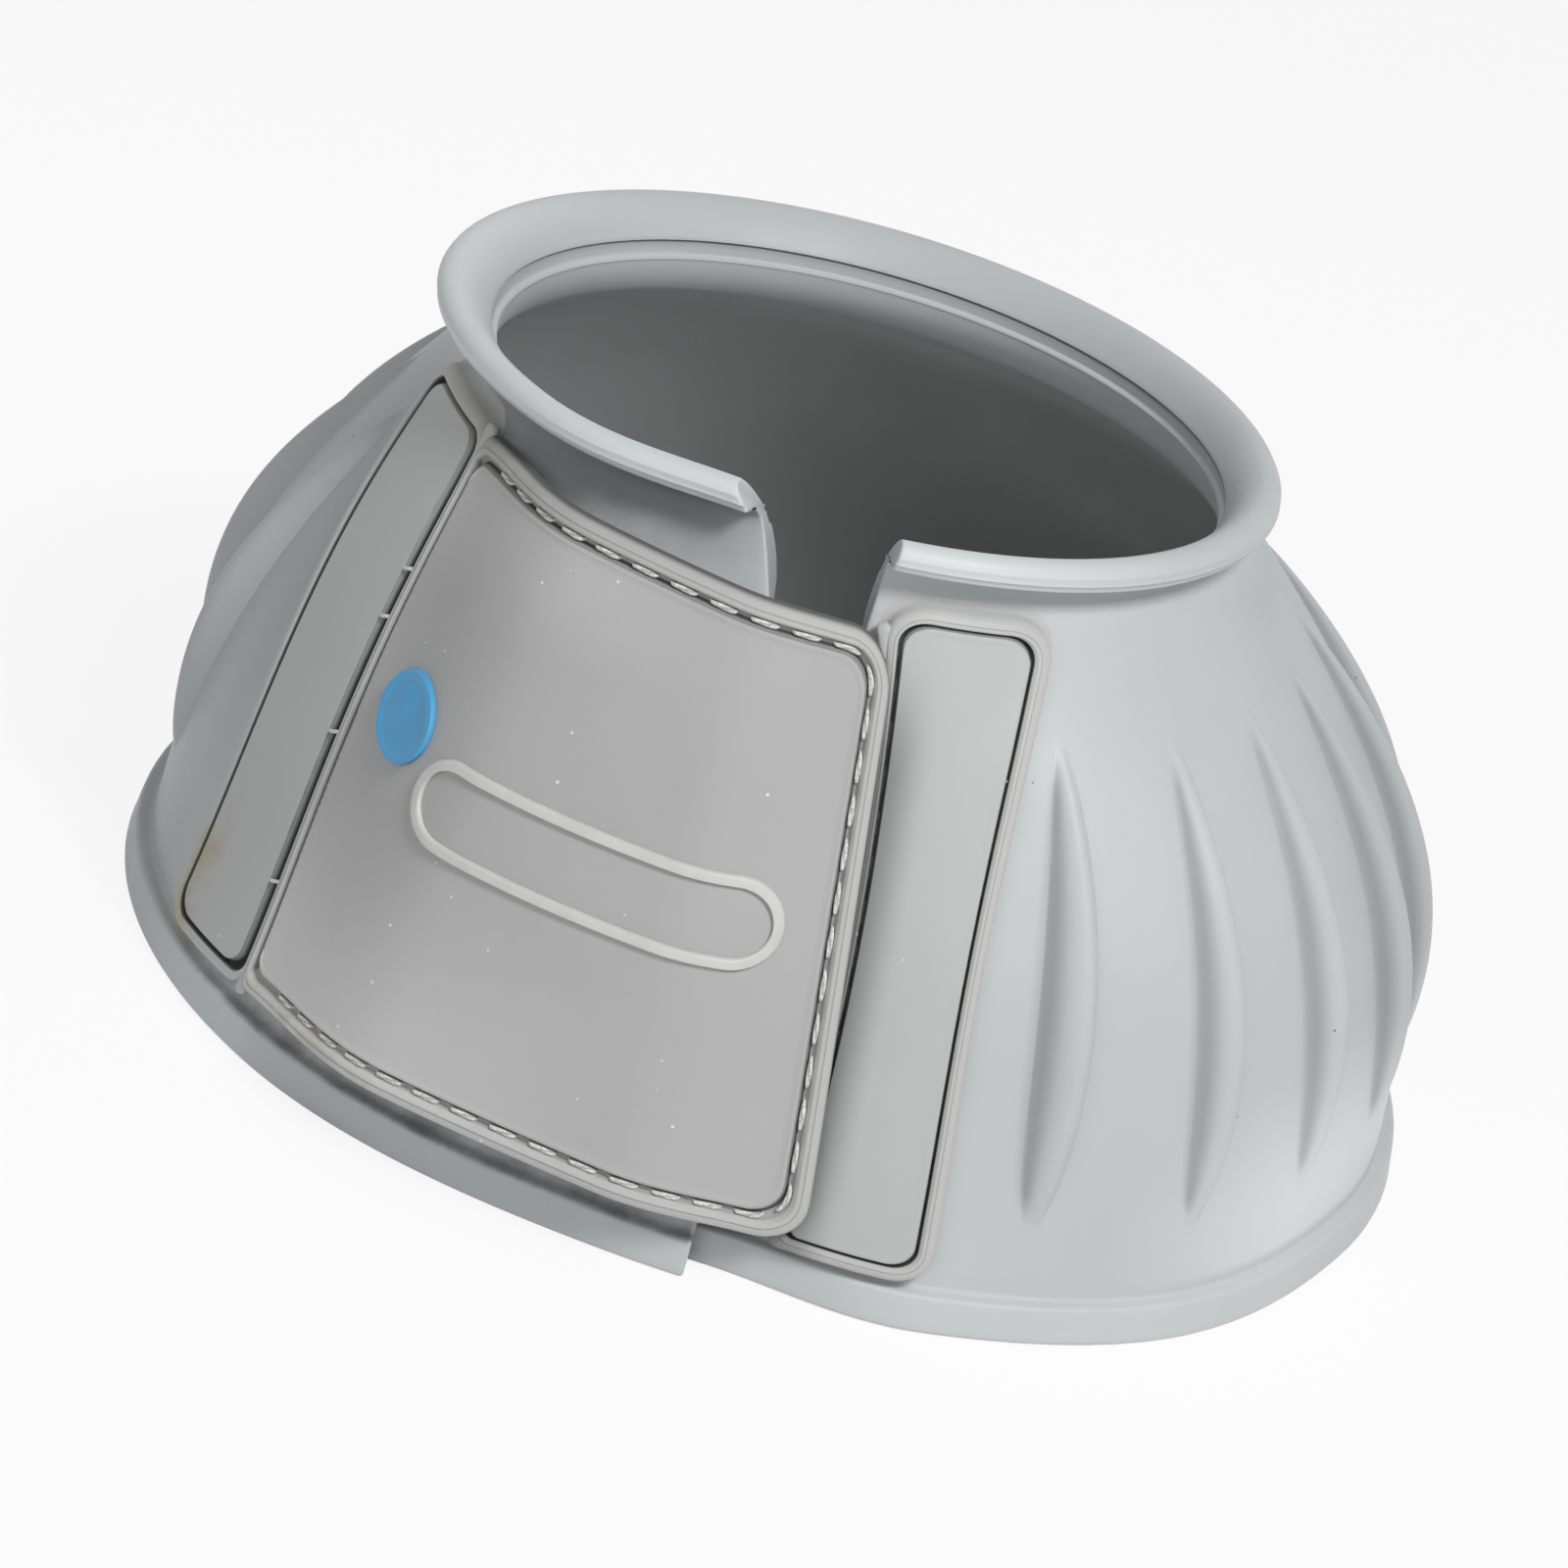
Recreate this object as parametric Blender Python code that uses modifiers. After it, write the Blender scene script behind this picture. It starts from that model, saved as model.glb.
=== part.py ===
# Overreach boot: a moulded rubber bell, split at the front, that wraps a horse's
# pastern and covers the heel. Two rubber flaps close it. The inner flap is sewn to
# the right end and presses onto the left end, and the outer flap is sewn to the left
# end and presses onto the inner one, each with a hook pad and a loop pad.
# Metres, +Z up. The boot stands on its hem at z = 0, with the split facing -Y.
# An azimuth is counted in degrees from -Y towards +X.

import math

import bmesh
import bpy
import numpy as np
from mathutils import Vector

# Driving dimensions of the bell
hem_radius = 0.0861
hem_height = 0.0049
hem_thickness = 0.0045
hem_ledge = 0.0021
hem_edge = 0.0007
hem_taper = 0.0006
wall_thickness = 0.0026
neck_radius = 0.0506
neck_height = 0.0818
rim_radius = 0.0553
rim_height = 0.0872
rim_bead_width = 0.0040
rim_bead_height = 0.0036
collar_bore_radius = 0.0474
collar_bore_height = 0.0790
collar_funnel_radius = 0.0488
collar_funnel_height = 0.0828
lean_to_left = 0.0098
lean_power = 1.9
footprint_shift = 0.0010

# The hem is a little out of round: pulled in under the closure, pushed out beside it
hem_pull = 0.0024
hem_pull_azimuth = -10.0
hem_pull_reach = 33.0
hem_push = 0.0022
hem_push_azimuth = 42.0
hem_push_reach = 27.0

# Gaps between pieces that touch, and under those that are seated on a facetted face
touch_gap = 0.0003
seat_gap = 0.0006

# How full the bell is: a straight taper mixed with a power curve, drawn in at the waist
bell_taper_share = 0.10
bell_power = 3.1
bell_waist_power = 1.4
closure_flat_share = 0.5

# Azimuths of the split's ends at the hem and at the rim, in degrees
left_end_hem = 0.4
left_end_rim = -11.2
left_end_power = 4.5
right_end_hem = -14.0
right_end_rim = 11.7
right_end_power = 1.1
tuck_full_azimuth = 2.0
tuck_none_azimuth = 20.0
tuck_fade_low_share = 0.62
tuck_fade_high_share = 0.98

# The flattened front, where the closure lies
closure_left_azimuth = -60.0
closure_right_azimuth = 18.0
closure_fade = 26.0

# Ribs round the sides and the back
rib_first_azimuth = 30.4
rib_last_azimuth = 280.8
rib_count = 17
rib_slant = 3.4
rib_front_height = 0.0031
rib_back_height = 0.0046
rib_half_width = 0.0042
rib_low = 0.0130
rib_front_high = 0.0670
rib_back_high = 0.0770

# Sewn strips and flap panels
strip_thickness = 0.0017
strip_low = 0.0061
strip_high = 0.0796
strip_corner = 0.0030
strip_border = 0.0024
outer_strip_left_hem = -61.5
outer_strip_left_rim = -74.5
outer_strip_left_power = 2.0
outer_fold_hem = -46.8
outer_fold_rim = -53.0
outer_fold_power = 1.9
inner_strip_right_hem = 20.8
inner_strip_right_rim = 33.2
inner_strip_right_power = 3.1
inner_fold_hem = 6.5
inner_fold_rim = 10.4

outer_panel_thickness = 0.0017
outer_panel_right_hem = 9.7
outer_panel_right_rim = 12.4
outer_panel_right_power = 3.0
outer_panel_low_left = 0.0098
outer_panel_low_right = 0.0072
outer_panel_low_bow = 0.0012
outer_panel_high_left = 0.0778
outer_panel_high_right = 0.0762
outer_panel_high_bow = 0.0020
outer_panel_corner = 0.0062
outer_panel_border = 0.0036
outer_fall_start_azimuth = -8.0

inner_panel_thickness = 0.0013
inner_panel_left_azimuth = -27.0
inner_panel_low = 0.0120
inner_panel_high = 0.0720
inner_panel_corner = 0.0050
inner_panel_border = 0.0022
inner_climb_margin = 4.0
fold_gap = 0.0003
fold_border_share = 0.45

border_height = 0.0004
border_round = 0.0005
groove_width = 0.0011
groove_depth = 0.0006
groove_slope = 0.0002
thread_diameter = 0.0005

# Hook pads and loop pads
pad_thickness = 0.0005
pad_low = 0.0165
pad_high = 0.0665
pad_left_azimuth = -24.0
pad_right_margin = 8.5

# Blank badge on the outer panel
badge_disc_diameter = 0.0112
badge_disc_thickness = 0.0010
badge_disc_edge = 0.0003
badge_disc_height = 0.0490
badge_frame_azimuth = -15.9
badge_frame_height = 0.0442
badge_frame_length = 0.0440
badge_frame_width = 0.0100
badge_frame_wire = 0.0009
badge_gap = 0.0016

# Hinge travel leaves the strips' borders clear
hinge_clearance = 0.0003

# Mesh counts
right_end_steps = 12
left_end_steps = 13
across_steps = 10
upright_steps = 10
corner_steps = 3
pad_steps_across = 5
pad_steps_up = 10
disc_sides = 28
frame_straight_steps = 7
frame_turn_steps = 6
wire_bevel_resolution = 0
sharp_angle = 40.0

rib_section_shares = (-1.0, -0.5, 0.0, 0.5, 1.0)
outer_wall_shares = (0.07, 0.15, 0.27, 0.40, 0.53, 0.65, 0.745, 0.825, 0.90, 0.96)
inner_wall_shares = (0.93, 0.80, 0.645, 0.45, 0.24, 0.02)
middle_round_share = 0.5
bead_angles = (-50.0, -8.0, 32.0, 72.0, 115.0, 165.0)
strip_ring_shares = (0.5,)
inner_panel_ring_shares = (0.2, 0.4, 0.6, 0.8, 0.94)
outer_panel_ring_shares = (0.16, 0.32, 0.48, 0.64, 0.8, 0.94)

shell_colour = (0.56, 0.59, 0.60)
flap_colour = (0.40, 0.40, 0.39)
strip_colour = (0.45, 0.46, 0.46)
thread_colour = (0.60, 0.60, 0.58)
loop_colour = (0.20, 0.20, 0.21)
hook_colour = (0.12, 0.12, 0.13)
disc_colour = (0.08, 0.38, 0.70)
frame_colour = (0.66, 0.66, 0.67)


def smooth(value):
    """Ease from 0 to 1 with level ends."""
    share = np.clip(value, 0.0, 1.0)
    return share * share * (3.0 - 2.0 * share)


def signed_azimuth(azimuth):
    """Azimuth brought between -180 and 180 degrees."""
    return (np.asarray(azimuth) + 180.0) % 360.0 - 180.0


def closure_share(azimuth):
    """1 across the flattened front, 0 round the ribbed sides and back."""
    signed = signed_azimuth(azimuth)
    left = smooth((signed - (closure_left_azimuth - closure_fade)) / closure_fade)
    right = smooth(((closure_right_azimuth + closure_fade) - signed) / closure_fade)
    return left * right


def oval_amount(azimuth, height):
    """How far the outline is out of round, most at the hem and not at all at the rim."""
    signed = signed_azimuth(azimuth)
    pull = smooth(1.0 - np.abs(signed - hem_pull_azimuth) / hem_pull_reach)
    push = smooth(1.0 - np.abs(signed - hem_push_azimuth) / hem_push_reach)
    return (hem_push * push - hem_pull * pull) * (1.0 - height / rim_height)


def wall_radius(azimuth, height):
    """Outer radius of the plain wall between the hem band and the neck."""
    share = np.clip((height - hem_height) / (neck_height - hem_height), 0.0, 1.0)
    taper = bell_taper_share * share
    bell = (1.0 - taper - (1.0 - bell_taper_share) * share ** bell_power) ** bell_waist_power
    flat = closure_flat_share * closure_share(azimuth)
    fullness = bell * (1.0 - flat) + (1.0 - share) * flat
    foot_radius = hem_radius - hem_taper - hem_ledge
    radius = neck_radius + (foot_radius - neck_radius) * fullness
    return radius + oval_amount(azimuth, height)


def wall_depth(azimuth, height):
    """Radial depth of the wall, so that it keeps its thickness where it slopes."""
    step = hem_edge
    rise = wall_radius(azimuth, height + step) - wall_radius(azimuth, height - step)
    slope = rise / (2.0 * step)
    return wall_thickness * np.sqrt(1.0 + slope * slope)


def left_end_azimuth(height):
    """The left end's edge, which lies outside the right one at the hem."""
    share = np.clip(height / rim_height, 0.0, 1.0)
    return left_end_hem + (left_end_rim - left_end_hem) * share ** left_end_power


def right_end_azimuth(height):
    """The right end's edge, which leans across under the left one."""
    share = np.clip(height / rim_height, 0.0, 1.0)
    return right_end_hem + (right_end_rim - right_end_hem) * share ** right_end_power


def right_drop(azimuth, height):
    """How far the right end lies inside the bell's outline, to tuck under the left one."""
    band = smooth((height - hem_height) / (strip_low - hem_height))
    depth = hem_thickness * (1.0 - band) + wall_depth(azimuth, height) * band + touch_gap
    along = smooth((tuck_none_azimuth - azimuth) / (tuck_none_azimuth - tuck_full_azimuth))
    fade_low = tuck_fade_low_share * rim_height
    fade_high = tuck_fade_high_share * rim_height
    upward = 1.0 - smooth((height - fade_low) / (fade_high - fade_low))
    return depth * along * upward


def rib_turn(height):
    """How far a rib's middle line has turned at a height, as the ribs slant on the way up."""
    share = np.clip((height - rib_low) / (rib_front_high - rib_low), 0.0, 1.0)
    return rib_slant * (share - 0.5)


def rib_bulge(azimuth, height):
    """Height of the lens-shaped ribs over the wall. They grow towards the back."""
    back = 0.5 - 0.5 * np.cos(np.radians(azimuth))
    top = rib_front_high + (rib_back_high - rib_front_high) * back
    peak = rib_front_height + (rib_back_height - rib_front_height) * back
    middle = 0.5 * (rib_low + top)
    reach = 0.5 * (top - rib_low)
    along = np.clip(1.0 - ((height - middle) / reach) ** 2, 0.0, 1.0)
    spacing = (rib_last_azimuth - rib_first_azimuth) / (rib_count - 1)
    from_first = azimuth - rib_turn(height) - rib_first_azimuth
    index = np.clip(np.round(from_first / spacing), 0, rib_count - 1)
    offset = np.radians(from_first - index * spacing) * hem_radius
    half_width = rib_half_width * np.sqrt(along) + border_round
    across = np.clip(1.0 - np.abs(offset) / half_width, 0.0, 1.0)
    return peak * along * np.sin(0.5 * math.pi * across)


def place(azimuth, radius, height):
    """Point of the boot. Its axis leans to the left on the way up."""
    angle = np.radians(azimuth)
    shift = lean_to_left * (np.clip(height, 0.0, rim_height) / rim_height) ** lean_power
    x = radius * np.sin(angle) - shift
    y = footprint_shift - radius * np.cos(angle)
    return np.stack(np.broadcast_arrays(x, y, height), axis=-1)


def over_wall(azimuth, height, lift):
    """Point at a radial height over the bell's outline."""
    return place(azimuth, wall_radius(azimuth, height) + lift, height)


def shell_stations(heights):
    """Azimuths of every station at every row, from the right end round to the left end."""
    spacing = (rib_last_azimuth - rib_first_azimuth) / (rib_count - 1)
    half = math.degrees(rib_half_width / hem_radius)
    ribs = []
    for index in range(rib_count):
        for share in rib_section_shares:
            ribs.append(rib_first_azimuth + index * spacing + share * half + rib_turn(heights))
    right = []
    for step in range(right_end_steps):
        share = step / right_end_steps
        start = right_end_azimuth(heights)
        right.append(start + (ribs[0] - start) * share)
    left = []
    for step in range(1, left_end_steps + 1):
        share = step / left_end_steps
        end = 360.0 + left_end_azimuth(heights)
        left.append(ribs[-1] + (end - ribs[-1]) * share)
    return np.array(right + ribs + left)


def shell_rows():
    """Rows of a section, from the hem's outer foot over the rim to its inner foot."""
    wall_height = neck_height - hem_height
    rows = [("hem_foot", 0.0, 0.0), ("hem_side", hem_edge, 0.0)]
    rows.append(("hem_side", hem_height - hem_edge, 0.0))
    rows.append(("hem_top", hem_height, 0.0))
    rows.append(("wall", hem_height + hem_edge, 0.0))
    for share in outer_wall_shares:
        rows.append(("wall", hem_height + share * wall_height, 0.0))
    rows.append(("wall", neck_height, 0.0))
    for angle in bead_angles:
        turn = math.radians(angle)
        height = rim_height + 0.5 * rim_bead_height * (math.sin(turn) - 1.0)
        rows.append(("bead", height, math.cos(turn)))
    rows.append(("funnel", collar_funnel_height, 0.0))
    rows.append(("bore", collar_bore_height, 0.0))
    for share in inner_wall_shares:
        rows.append(("lining", hem_height + share * wall_height, 0.0))
    rows.append(("hem_inside", 0.0, 0.0))
    return rows


def row_radius(kind, azimuth, height, reach):
    """Radius of one row of the section, before the right end is tucked in."""
    oval = oval_amount(azimuth, height)
    if kind == "hem_foot":
        return hem_radius - hem_edge + oval
    if kind == "hem_side":
        return hem_radius - hem_taper * height / hem_height + oval
    if kind == "hem_top":
        return hem_radius - hem_taper - hem_edge + oval
    if kind == "wall":
        return wall_radius(azimuth, height) + rib_bulge(azimuth, height)
    if kind == "bead":
        return rim_radius - 0.5 * rim_bead_width * (1.0 - reach) + oval
    if kind == "funnel":
        return collar_funnel_radius + oval
    if kind == "bore":
        return collar_bore_radius + oval
    if kind == "lining":
        return wall_radius(azimuth, height) - wall_depth(azimuth, height)
    return hem_radius - hem_thickness + oval


def shell_points():
    """Grid of the shell's points: station by row."""
    rows = shell_rows()
    azimuths = shell_stations(np.array([height for _, height, _ in rows]))
    columns = []
    for index, (kind, height, reach) in enumerate(rows):
        azimuth = azimuths[:, index]
        radius = row_radius(kind, azimuth, height, reach)
        drop = np.where(azimuth < 180.0, right_drop(azimuth, height), 0.0)
        columns.append(place(azimuth, radius - drop, height))
    return np.stack(columns, axis=1)


def new_material(name, colour, roughness):
    """Plain Principled material."""
    material = bpy.data.materials.new(name)
    material.use_nodes = True
    shader = material.node_tree.nodes["Principled BSDF"]
    shader.inputs["Base Color"].default_value = (*colour, 1.0)
    shader.inputs["Roughness"].default_value = roughness
    shader.inputs["Metallic"].default_value = 0.0
    return material


def finish_object(name, mesh, collection, material):
    """Object of a finished mesh, with its material, shaded smooth between its edges."""
    mesh.shade_smooth()
    mesh.set_sharp_from_angle(angle=math.radians(sharp_angle))
    mesh.materials.append(material)
    obj = bpy.data.objects.new(name, mesh)
    collection.objects.link(obj)
    return obj


def join_loops(bm, loops):
    """Bands of faces from each closed loop of points to the next."""
    rings = [[bm.verts.new(point) for point in loop] for loop in loops]
    count = len(rings[0])
    for first, second in zip(rings[:-1], rings[1:]):
        for index in range(count):
            after = (index + 1) % count
            bm.faces.new((first[index], first[after], second[after], second[index]))
    return rings


def mesh_of(bm, name):
    """Mesh of a closed form, with its faces turned outwards."""
    bmesh.ops.recalc_face_normals(bm, faces=bm.faces)
    mesh = bpy.data.meshes.new(name)
    bm.to_mesh(mesh)
    bm.free()
    return mesh


def make_shell(collection, material):
    """The bell: one section swept round, with its ends crossing at the front."""
    bm = bmesh.new()
    rings = join_loops(bm, shell_points())
    bm.faces.new(rings[0])
    bm.faces.new(rings[-1])
    return finish_object("bell_shell", mesh_of(bm, "bell_shell"), collection, material)


def line_between(hem_value, rim_value, height, power=1.0):
    """Azimuth of an edge, from the strips' lower ends to their upper ends."""
    share = np.clip((height - strip_low) / (strip_high - strip_low), 0.0, 1.0)
    return hem_value + (rim_value - hem_value) * share ** power


def outer_fold(height, side=0.0):
    """Azimuth of the outer flap's fold, or of an edge half a gap to its side."""
    middle = line_between(outer_fold_hem, outer_fold_rim, height, outer_fold_power)
    return middle + side * np.degrees(0.5 * fold_gap / wall_radius(middle, height))


def inner_fold(height, side=0.0):
    """Azimuth of the inner flap's fold, or of an edge half a gap to its side."""
    middle = line_between(inner_fold_hem, inner_fold_rim, height)
    return middle + side * np.degrees(0.5 * fold_gap / wall_radius(middle, height))


def level_lift(azimuth, height):
    """A piece that lies straight on the left end."""
    return seat_gap


def tucked_lift(azimuth, height):
    """A piece that lies on the right end, which is tucked in."""
    return seat_gap - right_drop(azimuth, height)


def pads_room():
    """Room for a hook pad on a loop pad, with the gaps round them."""
    return 2.0 * pad_thickness + 2.0 * seat_gap + touch_gap


def inner_panel_lift(azimuth, height):
    """The inner flap climbs from the tucked right end onto the left end's loop pad."""
    low = tucked_lift(azimuth, height)
    fold = inner_fold(height)
    top = left_end_azimuth(height) - inner_climb_margin
    climb = smooth((fold - azimuth) / (fold - top))
    return low + (pads_room() - low) * climb


def outer_panel_right(height):
    """Azimuth of the outer panel's free edge."""
    return line_between(
        outer_panel_right_hem, outer_panel_right_rim, height, outer_panel_right_power
    )


def outer_panel_lift(azimuth, height):
    """The outer flap climbs over the inner one and comes down on the right strip."""
    high = 2.0 * pads_room() + inner_panel_thickness + border_height
    fold = outer_fold(height)
    rise = smooth((azimuth - fold) / (inner_panel_left_azimuth - fold))
    lift = seat_gap + (high - seat_gap) * rise
    rest = tucked_lift(azimuth, height) + strip_thickness + border_height + touch_gap
    span = outer_panel_right(height) - outer_fall_start_azimuth
    fall = smooth((azimuth - outer_fall_start_azimuth) / span)
    return lift + (rest - lift) * fall


def fold_inset(piece, inset):
    """Inset along the fold, where the border is narrow and the groove keeps its width."""
    if inset < piece["border"]:
        return inset * fold_border_share
    return inset - piece["border"] * (1.0 - fold_border_share)


def rounded_outline(piece, width, height, inset, radii):
    """Rounded rectangle as shares across and up, counter-clockwise from its left side.

    Its corners are lower left, lower right, upper right and upper left."""
    left = fold_inset(piece, inset) if piece["fold_side"] == "left" else inset
    right = width - (fold_inset(piece, inset) if piece["fold_side"] == "right" else inset)
    low = inset
    high = height - inset
    centres = (
        (left + radii[0], low + radii[0], 180.0),
        (right - radii[1], low + radii[1], 270.0),
        (right - radii[2], high - radii[2], 0.0),
        (left + radii[3], high - radii[3], 90.0),
    )
    sides = (across_steps, upright_steps, across_steps, upright_steps)
    arcs = []
    for (x, y, start), radius in zip(centres, radii):
        turns = np.radians(start + 90.0 * np.arange(corner_steps + 1) / corner_steps)
        arcs.append(np.stack((x + radius * np.cos(turns), y + radius * np.sin(turns)), axis=1))
    parts = []
    for index, steps in enumerate(sides):
        arc = arcs[index]
        following = arcs[(index + 1) % 4][0]
        shares = np.arange(1, steps)[:, None] / steps
        parts += [arc, arc[-1] + (following - arc[-1]) * shares]
    return np.concatenate(parts) / np.array((width, height))


def edge_height(edge, across):
    """Height along a piece's lower or upper edge, from its left and right ends and its bow."""
    left, right, bow = edge
    return left + (right - left) * across + 4.0 * bow * across * (1.0 - across)


def sheet_point(piece, shares, lift):
    """Points of a piece from their shares across and up and their lift over its inner face."""
    across = shares[..., 0]
    up = shares[..., 1]
    low = edge_height(piece["low"], across)
    high = edge_height(piece["high"], across)
    height = low + (high - low) * up
    left = piece["left"](height)
    azimuth = left + (piece["right"](height) - left) * across
    return over_wall(azimuth, height, piece["lift"](azimuth, height) + lift)


def piece_size(piece):
    """Nominal width and height of a piece, measured along its middle lines."""
    shares = np.arange(across_steps + 1) / across_steps
    middle = np.full_like(shares, 0.5)
    level = sheet_point(piece, np.stack((shares, middle), axis=1), 0.0)
    upright = sheet_point(piece, np.stack((middle, shares), axis=1), 0.0)
    width = np.linalg.norm(np.diff(level, axis=0), axis=1).sum()
    height = np.linalg.norm(np.diff(upright, axis=0), axis=1).sum()
    return width, height


def corner_radii(piece, inset):
    """Corner radii of a loop at an inset, never below the border's rounding."""
    return [max(corner - inset, border_round) for corner in piece["corners"]]


def border_rings(piece):
    """Insets and lifts round a piece: its side, its raised border and the thread's groove."""
    top = piece["thickness"] + border_height
    floor = piece["thickness"] - groove_depth
    start = piece["border"]
    end = start + groove_width
    return [
        (border_round, 0.0),
        (0.0, border_round),
        (0.0, top - border_round),
        (border_round, top),
        (start - groove_slope, top),
        (start, floor),
        (end, floor),
        (end + groove_slope, piece["thickness"]),
    ]


def piece_loops(piece):
    """Loops of a piece from the middle of its inner face to the middle of its outer face."""
    width, height = piece_size(piece)
    rings = border_rings(piece)
    deepest = rings[-1][0]
    reach = 0.5 * min(width, height) - deepest
    field = []
    for share in piece["ring_shares"]:
        rest = reach * (1.0 - share)
        radius = border_round + (middle_round_share * rest - border_round) * share
        field.append((deepest + reach * share, [max(radius, border_round)] * 4))
    loops = [(inset, 0.0, radii) for inset, radii in reversed(field)]
    loops.append((deepest, 0.0, corner_radii(piece, deepest)))
    loops += [(inset, lift, corner_radii(piece, inset)) for inset, lift in rings]
    loops += [(inset, piece["thickness"], radii) for inset, radii in field]
    points = []
    for inset, lift, radii in loops:
        shares = rounded_outline(piece, width, height, inset, radii)
        points.append(sheet_point(piece, shares, lift))
    return points


def close_across(bm, ring):
    """Close a long narrow loop with its two ends and a ladder of faces between its sides."""
    last = 2 * corner_steps + across_steps
    count = len(ring)
    bm.faces.new(ring[: last + 1])
    upper = last + upright_steps
    bm.faces.new(ring[upper : upper + last + 1])
    for step in range(upright_steps):
        left = ring[(-step) % count]
        next_left = ring[(-step - 1) % count]
        bm.faces.new((left, ring[last + step], ring[last + step + 1], next_left))


def close_to_middle(bm, ring, middle):
    """Close a compact loop with a fan of faces round its middle point."""
    centre = bm.verts.new(middle)
    for index in range(len(ring)):
        bm.faces.new((ring[index], ring[(index + 1) % len(ring)], centre))


def make_sheet_piece(name, piece, collection, material):
    """Closed solid of a sewn strip or a flap panel, with a raised border and a groove."""
    bm = bmesh.new()
    rings = join_loops(bm, piece_loops(piece))
    for ring, lift in ((rings[0], 0.0), (rings[-1], piece["thickness"])):
        if piece["narrow"]:
            close_across(bm, ring)
        else:
            close_to_middle(bm, ring, sheet_point(piece, np.array((0.5, 0.5)), lift))
    return finish_object(name, mesh_of(bm, name), collection, material)


def make_thread(name, piece, collection, material):
    """Seam thread of a piece: a closed wire that lies in the groove inside its border."""
    width, height = piece_size(piece)
    inset = piece["border"] + 0.5 * groove_width
    lift = piece["thickness"] - groove_depth + touch_gap + 0.5 * thread_diameter
    shares = rounded_outline(piece, width, height, inset, corner_radii(piece, inset))
    points = sheet_point(piece, shares, lift)
    return make_closed_wire(name, points, thread_diameter, collection, material)


def make_closed_wire(name, points, diameter, collection, material):
    """Closed poly curve with a round section."""
    curve = bpy.data.curves.new(name, "CURVE")
    curve.dimensions = "3D"
    curve.bevel_depth = 0.5 * diameter
    curve.bevel_resolution = wire_bevel_resolution
    spline = curve.splines.new("POLY")
    spline.points.add(len(points) - 1)
    for point, target in zip(points, spline.points):
        target.co = (*point, 1.0)
    spline.use_cyclic_u = True
    curve.materials.append(material)
    obj = bpy.data.objects.new(name, curve)
    collection.objects.link(obj)
    return obj


def make_pad(name, lift, thickness, collection, material):
    """Hook or loop pad: an open curved sheet with a thickness."""
    shares = np.arange(pad_steps_across + 1) / pad_steps_across
    ups = np.arange(pad_steps_up + 1) / pad_steps_up
    across, up = np.meshgrid(shares, ups)
    height = pad_low + (pad_high - pad_low) * up
    right = left_end_azimuth(height) - pad_right_margin
    azimuth = pad_left_azimuth + (right - pad_left_azimuth) * across
    points = over_wall(azimuth, height, lift(azimuth, height))
    bm = bmesh.new()
    rows = [[bm.verts.new(point) for point in row] for row in points]
    for low, high in zip(rows[:-1], rows[1:]):
        for index in range(pad_steps_across):
            bm.faces.new((low[index], low[index + 1], high[index + 1], high[index]))
    mesh = bpy.data.meshes.new(name)
    bm.to_mesh(mesh)
    bm.free()
    obj = finish_object(name, mesh, collection, material)
    solidify = obj.modifiers.new("thickness", "SOLIDIFY")
    solidify.thickness = thickness
    solidify.offset = 1.0
    return obj


def outer_face(piece, azimuth, height):
    """Point and outward direction on a panel's outer face."""
    lift = piece["thickness"] + piece["lift"](azimuth, height)
    point = over_wall(azimuth, height, lift)
    turn = math.degrees(border_round / wall_radius(azimuth, height))
    side_lift = piece["thickness"] + piece["lift"](azimuth + turn, height)
    above_lift = piece["thickness"] + piece["lift"](azimuth, height + border_round)
    side = over_wall(azimuth + turn, height, side_lift)
    above = over_wall(azimuth, height + border_round, above_lift)
    normal = np.cross(side - point, above - point)
    return Vector(point), Vector(normal / np.linalg.norm(normal))


def make_badge_disc(piece, collection, material):
    """Plain round badge that stands on the outer panel, a gap to the left of the frame."""
    across = 0.5 * badge_frame_length + badge_gap + 0.5 * badge_disc_diameter
    turn_radius = wall_radius(badge_frame_azimuth, badge_frame_height)
    azimuth = badge_frame_azimuth - math.degrees(across / turn_radius)
    point, normal = outer_face(piece, azimuth, badge_disc_height)
    bm = bmesh.new()
    bmesh.ops.create_cone(
        bm,
        cap_ends=True,
        segments=disc_sides,
        radius1=0.5 * badge_disc_diameter,
        radius2=0.5 * badge_disc_diameter,
        depth=badge_disc_thickness,
    )
    mesh = bpy.data.meshes.new("badge_disc")
    bm.to_mesh(mesh)
    bm.free()
    obj = finish_object("badge_disc", mesh, collection, material)
    obj.location = point + normal * (touch_gap + 0.5 * badge_disc_thickness)
    obj.rotation_euler = normal.to_track_quat("Z", "Y").to_euler()
    edge = obj.modifiers.new("edge", "BEVEL")
    edge.width = badge_disc_edge
    edge.segments = 2
    edge.limit_method = "ANGLE"
    return obj


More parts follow.
